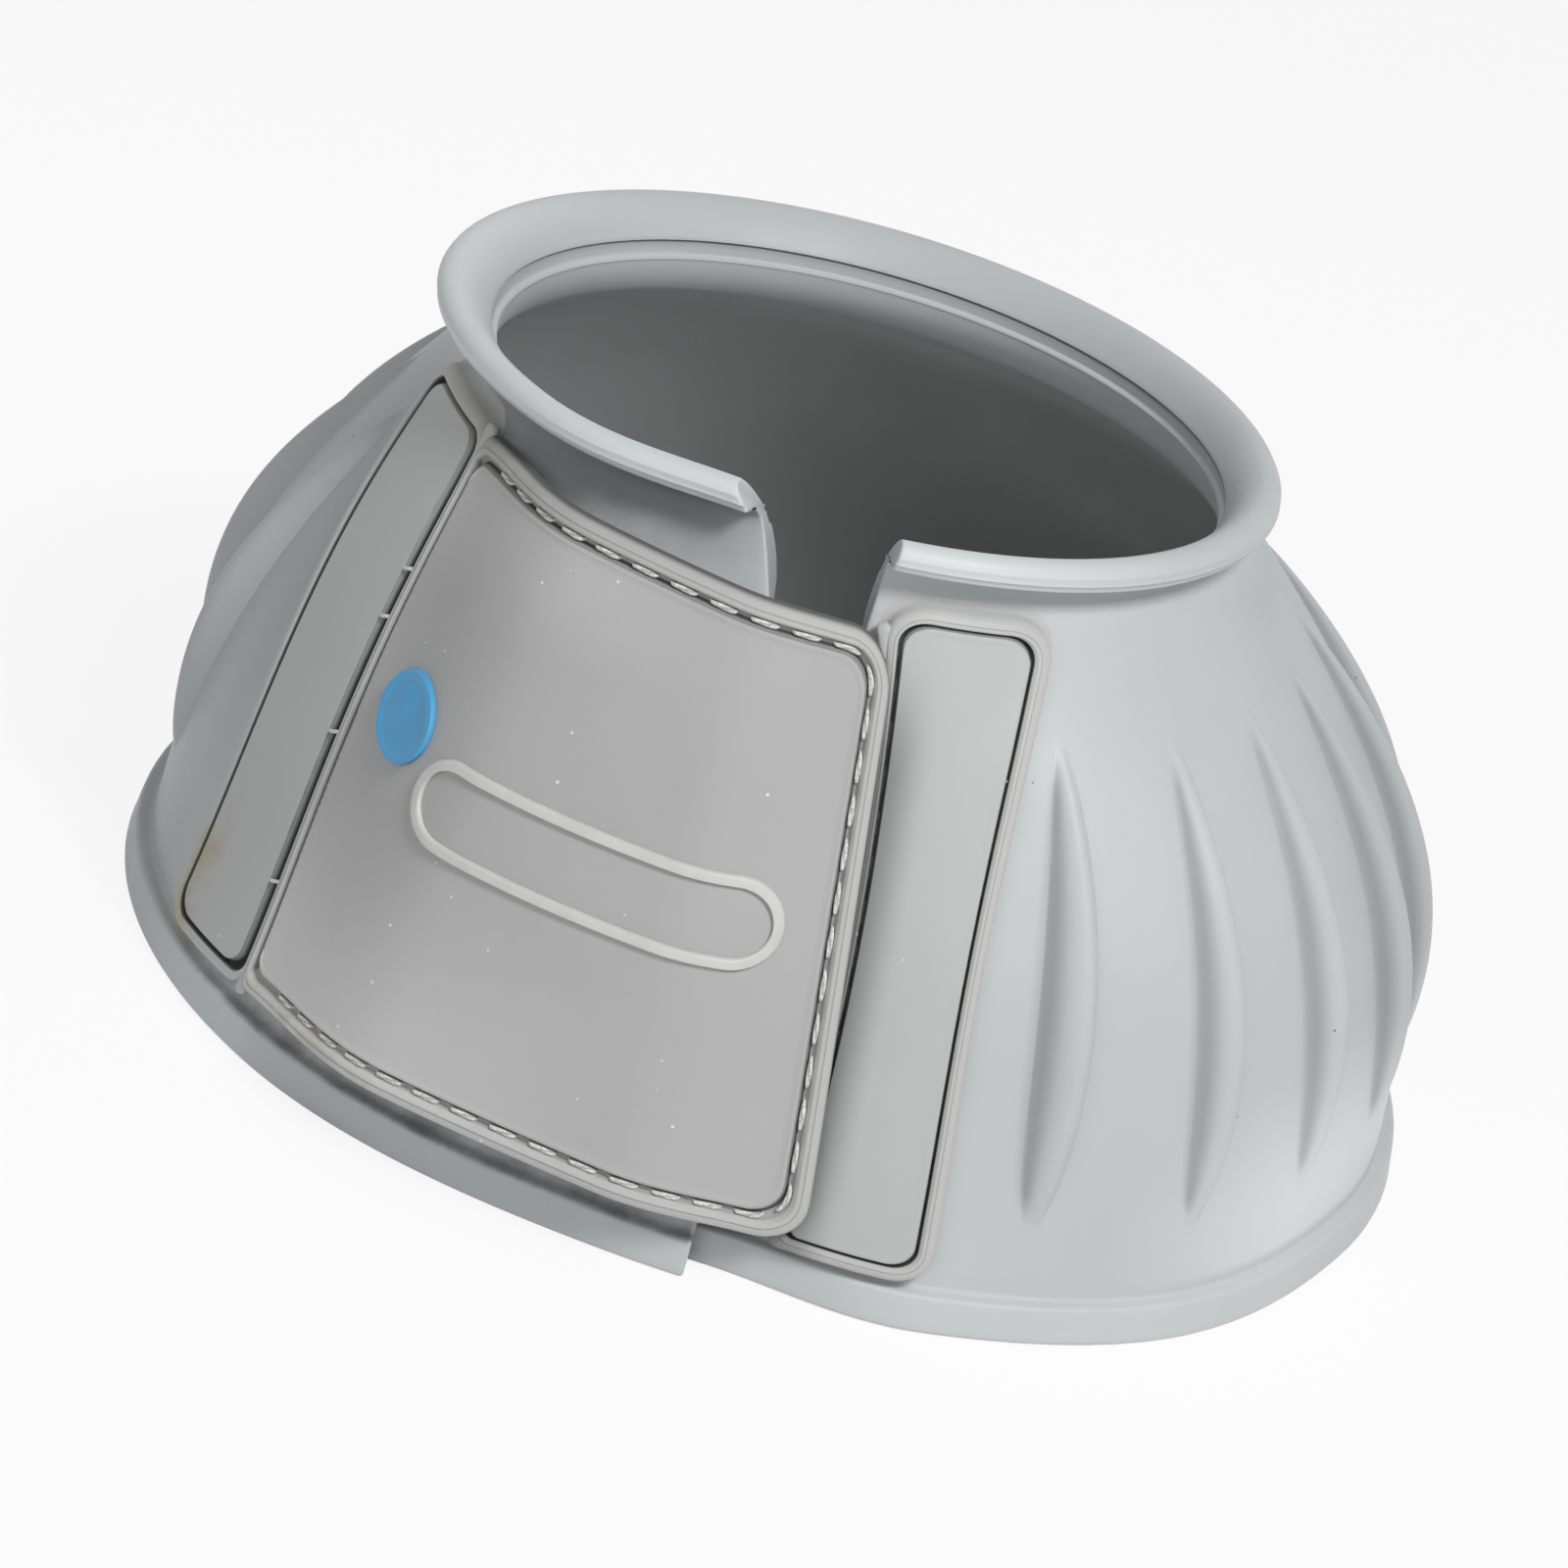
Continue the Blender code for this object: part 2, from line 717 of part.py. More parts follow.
def make_badge_frame(piece, collection, material):
    """Raised outline of a blank name plate, wrapped on the outer panel."""
    straight = 0.5 * (badge_frame_length - badge_frame_width)
    radius = 0.5 * badge_frame_width
    shares = (np.arange(frame_straight_steps) + 0.5) / frame_straight_steps
    turns = math.pi * (np.arange(frame_turn_steps) + 0.5) / frame_turn_steps
    run = straight * (2.0 * shares - 1.0)
    bulge = straight + radius * np.sin(turns)
    across = np.concatenate((run, bulge, -run, -bulge))
    level = np.full_like(run, radius)
    up = np.concatenate((-level, -radius * np.cos(turns), level, radius * np.cos(turns)))
    height = badge_frame_height + up
    turn_radius = wall_radius(badge_frame_azimuth, badge_frame_height)
    azimuth = badge_frame_azimuth + np.degrees(across / turn_radius)
    seat = piece["lift"](azimuth, height) + piece["thickness"]
    lift = seat + seat_gap + 0.5 * badge_frame_wire
    points = over_wall(azimuth, height, lift)
    return make_closed_wire("badge_frame", points, badge_frame_wire, collection, material)


def hinge_line(fold, lift):
    """Axis of a fold: parallel to its chord, just outside its outer face all the way up."""
    heights = strip_low + (strip_high - strip_low) * np.arange(upright_steps + 1) / upright_steps
    azimuths = fold(heights)
    out = strip_thickness + border_height + hinge_clearance
    points = over_wall(azimuths, heights, lift(azimuths, heights) + out)
    chord = points[-1] - points[0]
    chord = chord / np.linalg.norm(chord)
    middle = points[len(points) // 2]
    level = np.array((middle[0], middle[1] - footprint_shift, 0.0))
    outward = level - chord * np.dot(level, chord)
    outward = outward / np.linalg.norm(outward)
    reach = ((points - points[0]) @ outward).max()
    start = points[0] + outward * reach
    centre = start + chord * np.dot(middle - start, chord)
    return Vector(centre), Vector(chord)


def make_hinge(name, fold, lift, collection, followers):
    """Empty on a fold's axis, with its Z along the axis, that carries a flap's pieces."""
    centre, direction = hinge_line(fold, lift)
    empty = bpy.data.objects.new(name, None)
    empty.empty_display_size = strip_border
    empty.location = centre
    empty.rotation_euler = direction.to_track_quat("Z", "Y").to_euler()
    collection.objects.link(empty)
    bpy.context.view_layer.update()
    for obj in followers:
        obj.parent = empty
        obj.matrix_parent_inverse = empty.matrix_world.inverted()
    print(name, [round(value, 6) for value in centre], [round(value, 6) for value in direction])
    return empty


def build_boot():
    """Make every piece of the boot."""
    for obj in list(bpy.data.objects):
        bpy.data.objects.remove(obj, do_unlink=True)
    collection = bpy.data.collections.new("overreach_boot")
    bpy.context.scene.collection.children.link(collection)

    shell_rubber = new_material("shell_rubber", shell_colour, 0.45)
    strip_rubber = new_material("strip_rubber", strip_colour, 0.5)
    flap_rubber = new_material("flap_rubber", flap_colour, 0.55)
    thread_material = new_material("seam_thread", thread_colour, 0.8)
    loop_material = new_material("loop_pile", loop_colour, 0.95)
    hook_material = new_material("hook_tape", hook_colour, 0.6)
    disc_material = new_material("badge_blue", disc_colour, 0.45)
    frame_material = new_material("badge_pale", frame_colour, 0.5)

    outer_strip = {
        "left": lambda height: line_between(
            outer_strip_left_hem, outer_strip_left_rim, height, outer_strip_left_power
        ),
        "right": lambda height: outer_fold(height, -1.0),
        "low": (strip_low, strip_low, 0.0),
        "high": (strip_high, strip_high, 0.0),
        "lift": level_lift,
        "thickness": strip_thickness,
        "border": strip_border,
        "corners": (strip_corner, border_round, border_round, strip_corner),
        "fold_side": "right",
        "ring_shares": strip_ring_shares,
        "narrow": True,
    }
    inner_strip = {
        "left": lambda height: inner_fold(height, 1.0),
        "right": lambda height: line_between(
            inner_strip_right_hem, inner_strip_right_rim, height, inner_strip_right_power
        ),
        "low": (strip_low, strip_low, 0.0),
        "high": (strip_high, strip_high, 0.0),
        "lift": tucked_lift,
        "thickness": strip_thickness,
        "border": strip_border,
        "corners": (border_round, strip_corner, strip_corner, strip_corner),
        "fold_side": "left",
        "ring_shares": strip_ring_shares,
        "narrow": True,
    }
    outer_panel = {
        "left": lambda height: outer_fold(height, 1.0),
        "right": outer_panel_right,
        "low": (outer_panel_low_left, outer_panel_low_right, outer_panel_low_bow),
        "high": (outer_panel_high_left, outer_panel_high_right, outer_panel_high_bow),
        "lift": outer_panel_lift,
        "thickness": outer_panel_thickness,
        "border": outer_panel_border,
        "corners": (border_round, outer_panel_corner, outer_panel_corner, border_round),
        "fold_side": "left",
        "ring_shares": outer_panel_ring_shares,
        "narrow": False,
    }
    inner_panel = {
        "left": lambda height: np.full_like(height, inner_panel_left_azimuth),
        "right": lambda height: inner_fold(height, -1.0),
        "low": (inner_panel_low, inner_panel_low, 0.0),
        "high": (inner_panel_high, inner_panel_high, 0.0),
        "lift": inner_panel_lift,
        "thickness": inner_panel_thickness,
        "border": inner_panel_border,
        "corners": (inner_panel_corner, border_round, border_round, inner_panel_corner),
        "fold_side": "right",
        "ring_shares": inner_panel_ring_shares,
        "narrow": False,
    }

    make_shell(collection, shell_rubber)
    make_sheet_piece("outer_flap_strip", outer_strip, collection, strip_rubber)
    make_thread("outer_strip_thread", outer_strip, collection, thread_material)
    make_sheet_piece("inner_flap_strip", inner_strip, collection, strip_rubber)
    make_thread("inner_strip_thread", inner_strip, collection, thread_material)
    make_pad("shell_loop_pad", level_lift, pad_thickness, collection, loop_material)

    def hook_lift(azimuth, height):
        return inner_panel_lift(azimuth, height) - seat_gap - pad_thickness

    def loop_lift(azimuth, height):
        return inner_panel_lift(azimuth, height) + inner_panel_thickness + touch_gap

    def outer_hook_lift(azimuth, height):
        return outer_panel_lift(azimuth, height) - seat_gap - pad_thickness

    inner_pieces = [
        make_sheet_piece("inner_flap_panel", inner_panel, collection, flap_rubber),
        make_thread("inner_flap_thread", inner_panel, collection, thread_material),
        make_pad("inner_flap_hook_pad", hook_lift, pad_thickness, collection, hook_material),
        make_pad("inner_flap_loop_pad", loop_lift, pad_thickness, collection, loop_material),
    ]
    outer_pieces = [
        make_sheet_piece("outer_flap_panel", outer_panel, collection, flap_rubber),
        make_thread("outer_flap_thread", outer_panel, collection, thread_material),
        make_pad("outer_flap_hook_pad", outer_hook_lift, pad_thickness, collection, hook_material),
        make_badge_disc(outer_panel, collection, disc_material),
        make_badge_frame(outer_panel, collection, frame_material),
    ]
    make_hinge("outer_flap_hinge", outer_fold, level_lift, collection, outer_pieces)
    make_hinge("inner_flap_hinge", inner_fold, tucked_lift, collection, inner_pieces)


build_boot()
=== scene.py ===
# Overreach boot: the rubber bell, its two flaps, seams, touch-close pads and blank badge
import math

import bmesh
import bpy
import numpy as np
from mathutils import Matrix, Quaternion, Vector


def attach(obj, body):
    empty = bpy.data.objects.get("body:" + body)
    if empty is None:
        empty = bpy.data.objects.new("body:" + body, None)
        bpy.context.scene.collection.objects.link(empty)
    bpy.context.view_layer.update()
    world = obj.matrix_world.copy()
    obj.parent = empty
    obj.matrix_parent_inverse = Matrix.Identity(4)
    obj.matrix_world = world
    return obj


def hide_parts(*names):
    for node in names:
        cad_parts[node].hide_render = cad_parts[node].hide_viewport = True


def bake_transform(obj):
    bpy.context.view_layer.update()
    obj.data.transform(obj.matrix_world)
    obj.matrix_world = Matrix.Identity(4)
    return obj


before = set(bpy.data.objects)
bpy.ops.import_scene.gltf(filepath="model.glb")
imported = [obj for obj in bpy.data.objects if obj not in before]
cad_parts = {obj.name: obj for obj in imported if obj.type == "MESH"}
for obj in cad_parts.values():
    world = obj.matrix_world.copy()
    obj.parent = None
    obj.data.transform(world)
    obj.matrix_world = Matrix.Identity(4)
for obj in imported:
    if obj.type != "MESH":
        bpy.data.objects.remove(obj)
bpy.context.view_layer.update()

print("frame loaded with", len(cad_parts), "nodes")

# Lengths are in metres. Azimuths are in degrees, from the split (-Y) towards +X. A curve is given by its foot,
# head and power, a span by the values where an eased ramp is 0 and 1, and a hump by its middle, reach and size
bell = {
    "hemRadius": 0.0861, "hemHeight": 0.0049, "hemThickness": 0.0045, "hemLedge": 0.0021,
    "hemEdge": 0.0007, "hemTaper": 0.0006, "ledgeFillet": 0.0006,
    "humps": ((-10.0, 33.0, -0.0024), (42.0, 27.0, 0.0022)),
    "wall": 0.0026, "neckRadius": 0.0506, "neckHeight": 0.0818, "taperShare": 0.10, "fullnessPower": 3.1,
    "waistPower": 1.4, "flatShare": 0.5, "flatLeft": (-86.0, -60.0), "flatRight": (44.0, 18.0),
    "rimRadius": 0.0553, "rimHeight": 0.0872, "beadWidth": 0.0040, "beadHeight": 0.0036, "beadTurns": (-86.0, 115.0),
    "beadLine": 0.00013, "beadLines": ((-50.0, 7.0, 1.7), (-18.0, 4.5, 1.0), (10.0, 4.5, 0.6)), "hair": 0.0001,
    "boreRadius": 0.0475, "boreTop": 0.0808, "boreFoot": 0.0752, "boreFlare": 0.0022, "boreFlarePower": 2.2,
    "boreDrops": (0.0, 0.0001, 0.0003, 0.0005), "boreReaches": (0.0004, 0.0, -0.0001, 0.0), "boreStart": 0.0008,
    "liningTop": 0.0012, "liningFoot": 0.0010, "funnelSlope": 0.42,
    "partingRadius": 0.0482, "partingHeight": 0.0828, "partingDepth": 0.0004, "partingWidth": 0.0005,
    "lean": 0.0098, "leanPower": 1.9, "footprintShift": 0.0010, "leftEnd": (0.4, -11.2, 4.5),
    "rightEnd": (-14.0, 11.7, 1.1), "endRound": 0.0004, "endTurns": (90.0, 60.0, 30.0, 0.0),
    "tuckAcross": (20.0, 2.0), "tuckFade": (0.62, 0.98),
    "endPull": 0.0030, "endLift": 0.0006, "endReach": 34.0, "endPower": 1.5, "endUp": (0.066, 0.082),
    "notchShares": (0.0, 0.12, 0.3, 0.7, 0.88, 1.0), "bandShares": (0.3, 0.6, 0.86),
}
bellSteps = {
    "hemFoot": 5, "hemSide": 5, "hemTop": 6, "wall": 62, "sweep": 8, "bead": 46, "funnel": 14, "bore": 7,
    "lining": 34, "hemInside": 4, "right": 56, "left": 60,
}

# Pairs are values at the front and at the back
ribs = {
    "first": 30.4, "last": 280.8, "count": 17, "slant": 3.4, "halfWidth": 0.0036, "tip": 0.0004, "crest": 0.22,
    "low": (0.0142, 0.0172), "high": (0.0653, 0.0752), "rise": (0.0033, 0.0047), "fullness": 0.8,
    "leastSpread": 0.0014, "between": (0.2, 0.4, 0.6, 0.8),
    "cluster": (-1.4, -1.1, -1.0, -0.9, -0.76, -0.58, -0.38, -0.18, 0.02, 0.22, 0.42, 0.6, 0.76, 0.89, 1.0, 1.1, 1.4),
}
ribSpacing = (ribs["last"] - ribs["first"]) / (ribs["count"] - 1)

# How the flaps and their strips lie on the bell
closure = {
    "touchGap": 0.0003, "seatGap": 0.0006, "padThickness": 0.0005, "foldGap": 0.0003, "lipRise": 0.0004,
    "stripUp": (0.0061, 0.0796), "stripThickness": 0.0017,
    "outerFold": (-46.8, -53.0, 1.9), "innerFold": (6.5, 10.4, 1.0), "innerThickness": 0.0013, "innerLeft": -27.0,
    "climbMargin": 4.0, "outerThickness": 0.0017, "outerRight": (9.4, 11.9, 3.0), "outerRightBow": -0.8,
    "fallStart": -8.0,
}


def ease(value):  # from 0 to 1 with level ends: three times the square less twice the cube
    share = np.clip(value, 0.0, 1.0)
    return share * share * (3.0 - 2.0 * share)


def ramp(value, start, end):  # eased from 0 at the start to 1 at the end, whichever is larger
    return ease((value - start) / (end - start))


def window(value, *spans):  # the product of one ramp for each span
    return math.prod(ramp(value, *span) for span in spans)


def patch(spot, across, up):  # a spot's strength times the ramps of its spans across and up
    strength, acrossSpans, upSpans = spot
    return strength * window(across, *acrossSpans) * window(up, *upSpans)


def peak(value, middle, width):  # e to the power of minus the squared distance from the middle, in widths
    return np.exp(-((value - middle) / width) ** 2)


def curve(ends, share):  # from foot to head with a power of the share
    foot, head, power = ends
    return foot + (head - foot) * share ** power


def arcShares(first, last, steps):  # sine and cosine of even steps between two angles in degrees
    turns = np.radians(np.linspace(first, last, steps))
    return np.sin(turns), np.cos(turns)


def roundTurns(count):  # even angles once round, in radians
    return 2.0 * math.pi * np.arange(count) / count


def unit(vectors):  # each vector divided by its length
    return vectors / np.linalg.norm(vectors, axis=-1, keepdims=True)


def signed(azimuth):  # the azimuth brought between -180 and 180 degrees
    return (np.asarray(azimuth) + 180.0) % 360.0 - 180.0


def hemToRim(height):  # the height as a share of the whole, held between 0 and 1
    return np.clip(height / bell["rimHeight"], 0.0, 1.0)


def outOfRound(azimuth, height):  # eased humps round the hem, fading in a straight line to the rim
    away = [(np.abs(signed(azimuth) - middle) / reach, size) for middle, reach, size in bell["humps"]]
    return sum(size * ease(1.0 - share) for share, size in away) * (1.0 - height / bell["rimHeight"])


def wallRadius(azimuth, height):
    # A taper and a power curve, raised to the waist's power, and mixed with a straight line at the front
    turn = signed(azimuth)
    share = np.clip((height - bell["hemHeight"]) / (bell["neckHeight"] - bell["hemHeight"]), 0.0, 1.0)
    taper = bell["taperShare"] * share
    full = 1.0 - taper - (1.0 - bell["taperShare"]) * share ** bell["fullnessPower"]
    full = full ** bell["waistPower"]
    flat = bell["flatShare"] * window(turn, bell["flatLeft"], bell["flatRight"])
    foot = bell["hemRadius"] - bell["hemTaper"] - bell["hemLedge"]
    radius = bell["neckRadius"] + (foot - bell["neckRadius"]) * (full * (1.0 - flat) + (1.0 - share) * flat)
    return radius + outOfRound(azimuth, height)


def wallDepth(azimuth, height):  # the wall's thickness times the root of one plus the slope squared
    step = bell["hemEdge"]
    slope = (wallRadius(azimuth, height + step) - wallRadius(azimuth, height - step)) / (2.0 * step)
    return bell["wall"] * np.sqrt(1.0 + slope * slope)


def splitEnd(side, height):  # azimuth of an end of the split: a power curve from hem to rim
    return curve(bell[side], hemToRim(height))


def tuckDepth(azimuth, height):
    # How far the right end lies inside: the left end's depth and a gap, eased in along it and out near the rim
    band = ramp(height, bell["hemHeight"], closure["stripUp"][0])
    depth = bell["hemThickness"] * (1.0 - band) + wallDepth(azimuth, height) * band + closure["touchGap"]
    fade = 1.0 - ramp(height / bell["rimHeight"], *bell["tuckFade"])
    return depth * ramp(azimuth, *bell["tuckAcross"]) * fade


def ribTurn(height):  # the ribs slant: a straight line of turn from half the slant back to half forward
    low, high = ribs["low"][0], ribs["high"][0]
    return ribs["slant"] * (np.clip((height - low) / (high - low), 0.0, 1.0) - 0.5)


def ribSpan(azimuth, height):  # share of a rib's rise at a height, a parabola between its tips, and its rise
    back = 0.5 - 0.5 * np.cos(np.radians(azimuth))
    low, top, rise = [front + (rear - front) * back for front, rear in (ribs["low"], ribs["high"], ribs["rise"])]
    offset = (height - 0.5 * (low + top)) / (0.5 * (top - low))
    return np.clip(1.0 - offset * offset, 0.0, 1.0), rise


def ribHalf(along):  # a rib's half width: the root of its share of the rise, and a little at the tips
    return ribs["halfWidth"] * np.sqrt(along) + ribs["tip"]


def ribAcross(azimuth, height):  # place across the nearest rib: -1 and 1 at its edges, 0 on its crest
    along, rise = ribSpan(azimuth, height)
    fromFirst = azimuth - ribTurn(height) - ribs["first"]
    index = np.clip(np.round(fromFirst / ribSpacing), 0, ribs["count"] - 1)
    offset = np.radians(fromFirst - index * ribSpacing) * bell["hemRadius"] / ribHalf(along)
    side = np.where(offset < ribs["crest"], 1.0 + ribs["crest"], 1.0 - ribs["crest"])
    return (offset - ribs["crest"]) / side, along, rise


def ribRise(azimuth, height):  # a quarter sine from each long edge up to the crest, times the parabola along it
    across, along, rise = ribAcross(azimuth, height)
    return rise * along ** ribs["fullness"] * np.sin(0.5 * math.pi * np.clip(1.0 - np.abs(across), 0.0, 1.0))


def place(azimuth, radius, height):  # polar to Cartesian, shifted to the left by a power of the height
    angle = np.radians(azimuth)
    x = radius * np.sin(angle) - bell["lean"] * hemToRim(height) ** bell["leanPower"]
    y = bell["footprintShift"] - radius * np.cos(angle)
    return np.stack(np.broadcast_arrays(x, y, height), axis=-1)


def overWall(azimuth, height, lift):  # a point at a radial height over the bell's outline
    return place(azimuth, wallRadius(azimuth, height) + lift, height)


def turnBy(azimuth, height, length):  # the azimuth after a step round the wall: the length over the radius
    return azimuth + np.degrees(length / wallRadius(azimuth, height))


def gridFaces(rows, columns, closeRows=False, closeColumns=False):
    # Quads between neighbouring points of a grid, whose rows and columns may close on themselves
    row, column = np.meshgrid(
        np.arange(rows if closeRows else rows - 1), np.arange(columns if closeColumns else columns - 1), indexing="ij"
    )
    nextRow, nextColumn = (row + 1) % rows, (column + 1) % columns
    corners = ((row, column), (nextRow, column), (nextRow, nextColumn), (row, nextColumn))
    return np.stack([(upright * columns + across).ravel() for upright, across in corners], axis=1)


def cappedFaces(rows, columns):  # a tube of quads that closes along its columns, with a face over each end
    faces = gridFaces(rows, columns, closeColumns=True).tolist()
    return faces + [list(range(columns)), list(range((rows - 1) * columns, rows * columns))]


def tidyMesh(mesh, merge):  # merge doubles where asked, and turn the faces outwards
    work = bmesh.new()
    work.from_mesh(mesh)
    if merge:
        bmesh.ops.remove_doubles(work, verts=work.verts, dist=merge)
    bmesh.ops.recalc_face_normals(work, faces=work.faces)
    work.to_mesh(mesh)
    work.free()


def makeObject(name, points, faces, material, marks=None, merge=0.0, smooth=50.0):
    # Mesh from arrays, its doubles merged and its faces turned outwards, with one float attribute for each mark
    mesh = bpy.data.meshes.new(name)
    mesh.from_pydata(points.reshape(-1, 3).tolist(), [], [list(face) for face in faces])
    for mark, values in (marks or {}).items():
        attribute = mesh.attributes.new(mark, "FLOAT", "POINT")
        attribute.data.foreach_set("value", np.ascontiguousarray(values, dtype=np.float32).ravel())
    tidyMesh(mesh, merge)
    mesh.shade_smooth()
    mesh.set_sharp_from_angle(angle=math.radians(smooth))
    mesh.materials.append(material)
    piece = bpy.data.objects.new(name, mesh)
    bpy.context.scene.collection.objects.link(piece)
    return piece


def settle(piece, body, slot, *nodes):  # the piece rides on its body and stands for its nodes, if it has any
    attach(piece, body)
    if nodes:
        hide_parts(*nodes)
    print(piece.name, "made:", len(piece.data.polygons), "faces")


# Materials
finish = {
    "shell": (0.565, 0.590, 0.600), "strip": (0.515, 0.522, 0.522), "flap": (0.462, 0.465, 0.462),
    # The lip colour is a paler border tone and a painted highlight; the groove colour is painted shade in grooves,
    # notches and along edges, and the dark fibres of the strips' dark thread; the grime colour is dirt and painted
    # shade
    "lipToneAndHighlight": (0.575, 0.575, 0.560), "groove": (0.040, 0.041, 0.043), "grimeAndShade": (0.050, 0.050, 0.052),
    # The lining colour is painted shade inside the bell
    "stain": (0.430, 0.405, 0.290), "lining": (0.165, 0.170, 0.170), "thread": (0.90, 0.90, 0.88),
    "threadDark": (0.55, 0.55, 0.54), "shadeDarkThread": (0.11, 0.11, 0.11), "loop": (0.085, 0.087, 0.092),
    "loopDark": (0.03, 0.03, 0.033), "hook": (0.045, 0.046, 0.050), "hookDark": (0.02, 0.02, 0.022),
    "disc": (0.080, 0.380, 0.690), "plate": (0.640, 0.640, 0.630),
    "darkSpeck": (0.14, 0.145, 0.15), "stripSpeck": (0.80, 0.80, 0.80), "flapSpeck": (0.90, 0.90, 0.90),
}

# A noise is its scale, detail and roughness
texture = {
    # The gain after the lip's share makes the rubber paler as painted light
    "contrast": (0.3, 0.7), "patches": (38.0, 3.0), "patchGains": (0.965, 1.03), "lipShare": 0.85, "paintedLightGain": 1.5,
    "smudges": (160.0, 4.0, 0.65), "smudgeSpan": (0.38, 0.62), "speckScale": 330.0, "speckSize": 0.085,
    "speckEdge": 0.6, "speckShare": 0.85, "gloss": (70.0, 4.0), "glossSpread": (-0.05, 0.07),
    "fine": (2600.0, 2.0), "fineDepth": 0.00003, "broad": (210.0, 3.0), "broadDepth": 0.00012, "broadShare": 0.5,
    "specular": 0.27, "sheen": 0.06, "strands": (3.0, 0.6),
    "strandSpan": (0.35, 0.65), "strandDepth": 0.00005, "strandShare": 0.6, "strandSheen": 0.25, "strandGloss": 0.1,
    "plyGain": 0.3, "clouds": (260.0, 3.0), "cloudGains": (0.94, 1.05), "cloudGloss": 0.05,
    "paint": (3000.0,), "paintDepth": 0.00002, "paintShare": 0.5,
}


class Nodes:  # a short hand for adding and linking the nodes of a material or a world
    def __init__(self, owner):
        owner.use_nodes = True
        self.owner, self.tree = owner, owner.node_tree
        self.coordinates = self.add("TexCoord").outputs["Object"]

    def add(self, kind, inputs=None, **settings):
        node = self.tree.nodes.new("ShaderNode" + kind)
        for key, value in settings.items():
            setattr(node, key, value)
        for key, value in (inputs or {}).items():
            self.plug(node.inputs[key], value)
        return node

    def plug(self, socket, value):
        if isinstance(value, bpy.types.NodeSocket):
            self.tree.links.new(value, socket)
        else:
            socket.default_value = value

    def give(self, name, values):
        for key, value in values.items():
            self.plug(self.tree.nodes[name].inputs[key], value)

    def noise(self, scale, detail=2.0, roughness=0.5):
        inputs = {"Vector": self.coordinates, "Scale": scale, "Detail": detail, "Roughness": roughness}
        return self.add("TexNoise", inputs).outputs["Fac"]

    def remap(self, value, low, high, toLow=0.0, toHigh=1.0):
        ends = {"From Min": low, "From Max": high, "To Min": toLow, "To Max": toHigh}
        return self.add("MapRange", {"Value": value, **ends}).outputs["Result"]

    def math(self, operation, first, second):
        return self.add("Math", {0: first, 1: second}, operation=operation).outputs[0]

    def mix(self, share, first, second):
        return self.add("Mix", {0: share, 6: first, 7: second}, data_type="RGBA").outputs[2]

    def mark(self, name):
        return self.add("Attribute", attribute_name=name).outputs["Fac"]

    def specks(self, scale, size, share):
        # Small round specks: the near part of some of a Voronoi pattern's cells
        cells = self.add("TexVoronoi", {"Vector": self.coordinates, "Scale": scale}).outputs
        near = self.remap(cells["Distance"], size, size * texture["speckEdge"])
        chosen = self.add("SeparateColor", {"Color": cells["Color"]}).outputs["Red"]
        return self.math("MULTIPLY", near, self.math("LESS_THAN", chosen, share))

    def bump(self, height, distance, strength, under=None):
        inputs = {"Height": height, "Distance": distance, "Strength": strength}
        return self.add("Bump", {**inputs, "Normal": under} if under else inputs).outputs["Normal"]


def rgba(colour, gain=1.0):  # the colour times a gain, with full alpha
    return (*[channel * gain for channel in colour], 1.0)


def rubber(name, colour, speck, speckShare, roughness, grain):
    # Moulded rubber: soft patches, one layer over the other by attribute, specks and an uneven surface.
    # The layers are the lip's paler tone with a painted highlight, painted shade inside, painted light, stains,
    # dirt with painted shade, and painted shade in grooves
    nodes = Nodes(bpy.data.materials.new(name))
    patches = nodes.remap(nodes.noise(*texture["patches"]), *texture["contrast"])
    base = nodes.mix(patches, *[rgba(finish[colour], gain) for gain in texture["patchGains"]])
    smudge = nodes.remap(nodes.noise(*texture["smudges"]), *texture["smudgeSpan"])
    for mark, share, layer, gain in (
        ("lipToneAndHighlight", texture["lipShare"], "lipToneAndHighlight", 1.0), ("lining", 1.0, "lining", 1.0),
        ("paintedLight", 1.0, colour, texture["paintedLightGain"]), ("stain", smudge, "stain", 1.0),
        ("grimeAndShade", smudge, "grimeAndShade", 1.0), ("shadeAndDirt", 1.0, "grimeAndShade", 1.0), ("groove", 1.0, "groove", 1.0),
    ):
        base = nodes.mix(nodes.math("MULTIPLY", nodes.mark(mark), share), base, rgba(finish[layer], gain))
    specks = nodes.specks(texture["speckScale"], texture["speckSize"], speckShare)
    base = nodes.mix(nodes.math("MULTIPLY", specks, texture["speckShare"]), base, rgba(finish[speck]))
    ends = [roughness + spread for spread in texture["glossSpread"]]
    gloss = nodes.remap(nodes.noise(*texture["gloss"]), *texture["contrast"], *ends)
    fine = nodes.bump(nodes.noise(*texture["fine"]), texture["fineDepth"], grain)
    broad = nodes.bump(nodes.noise(*texture["broad"]), texture["broadDepth"], texture["broadShare"], fine)
    nodes.give("Principled BSDF", {
        "Base Color": base, "Roughness": nodes.math("MAXIMUM", gloss, nodes.mark("groove")), "Normal": broad,
        "IOR": 1.5, "Specular IOR Level": texture["specular"],
        "Sheen Weight": texture["sheen"], "Sheen Roughness": 0.5,
    })
    return nodes.owner


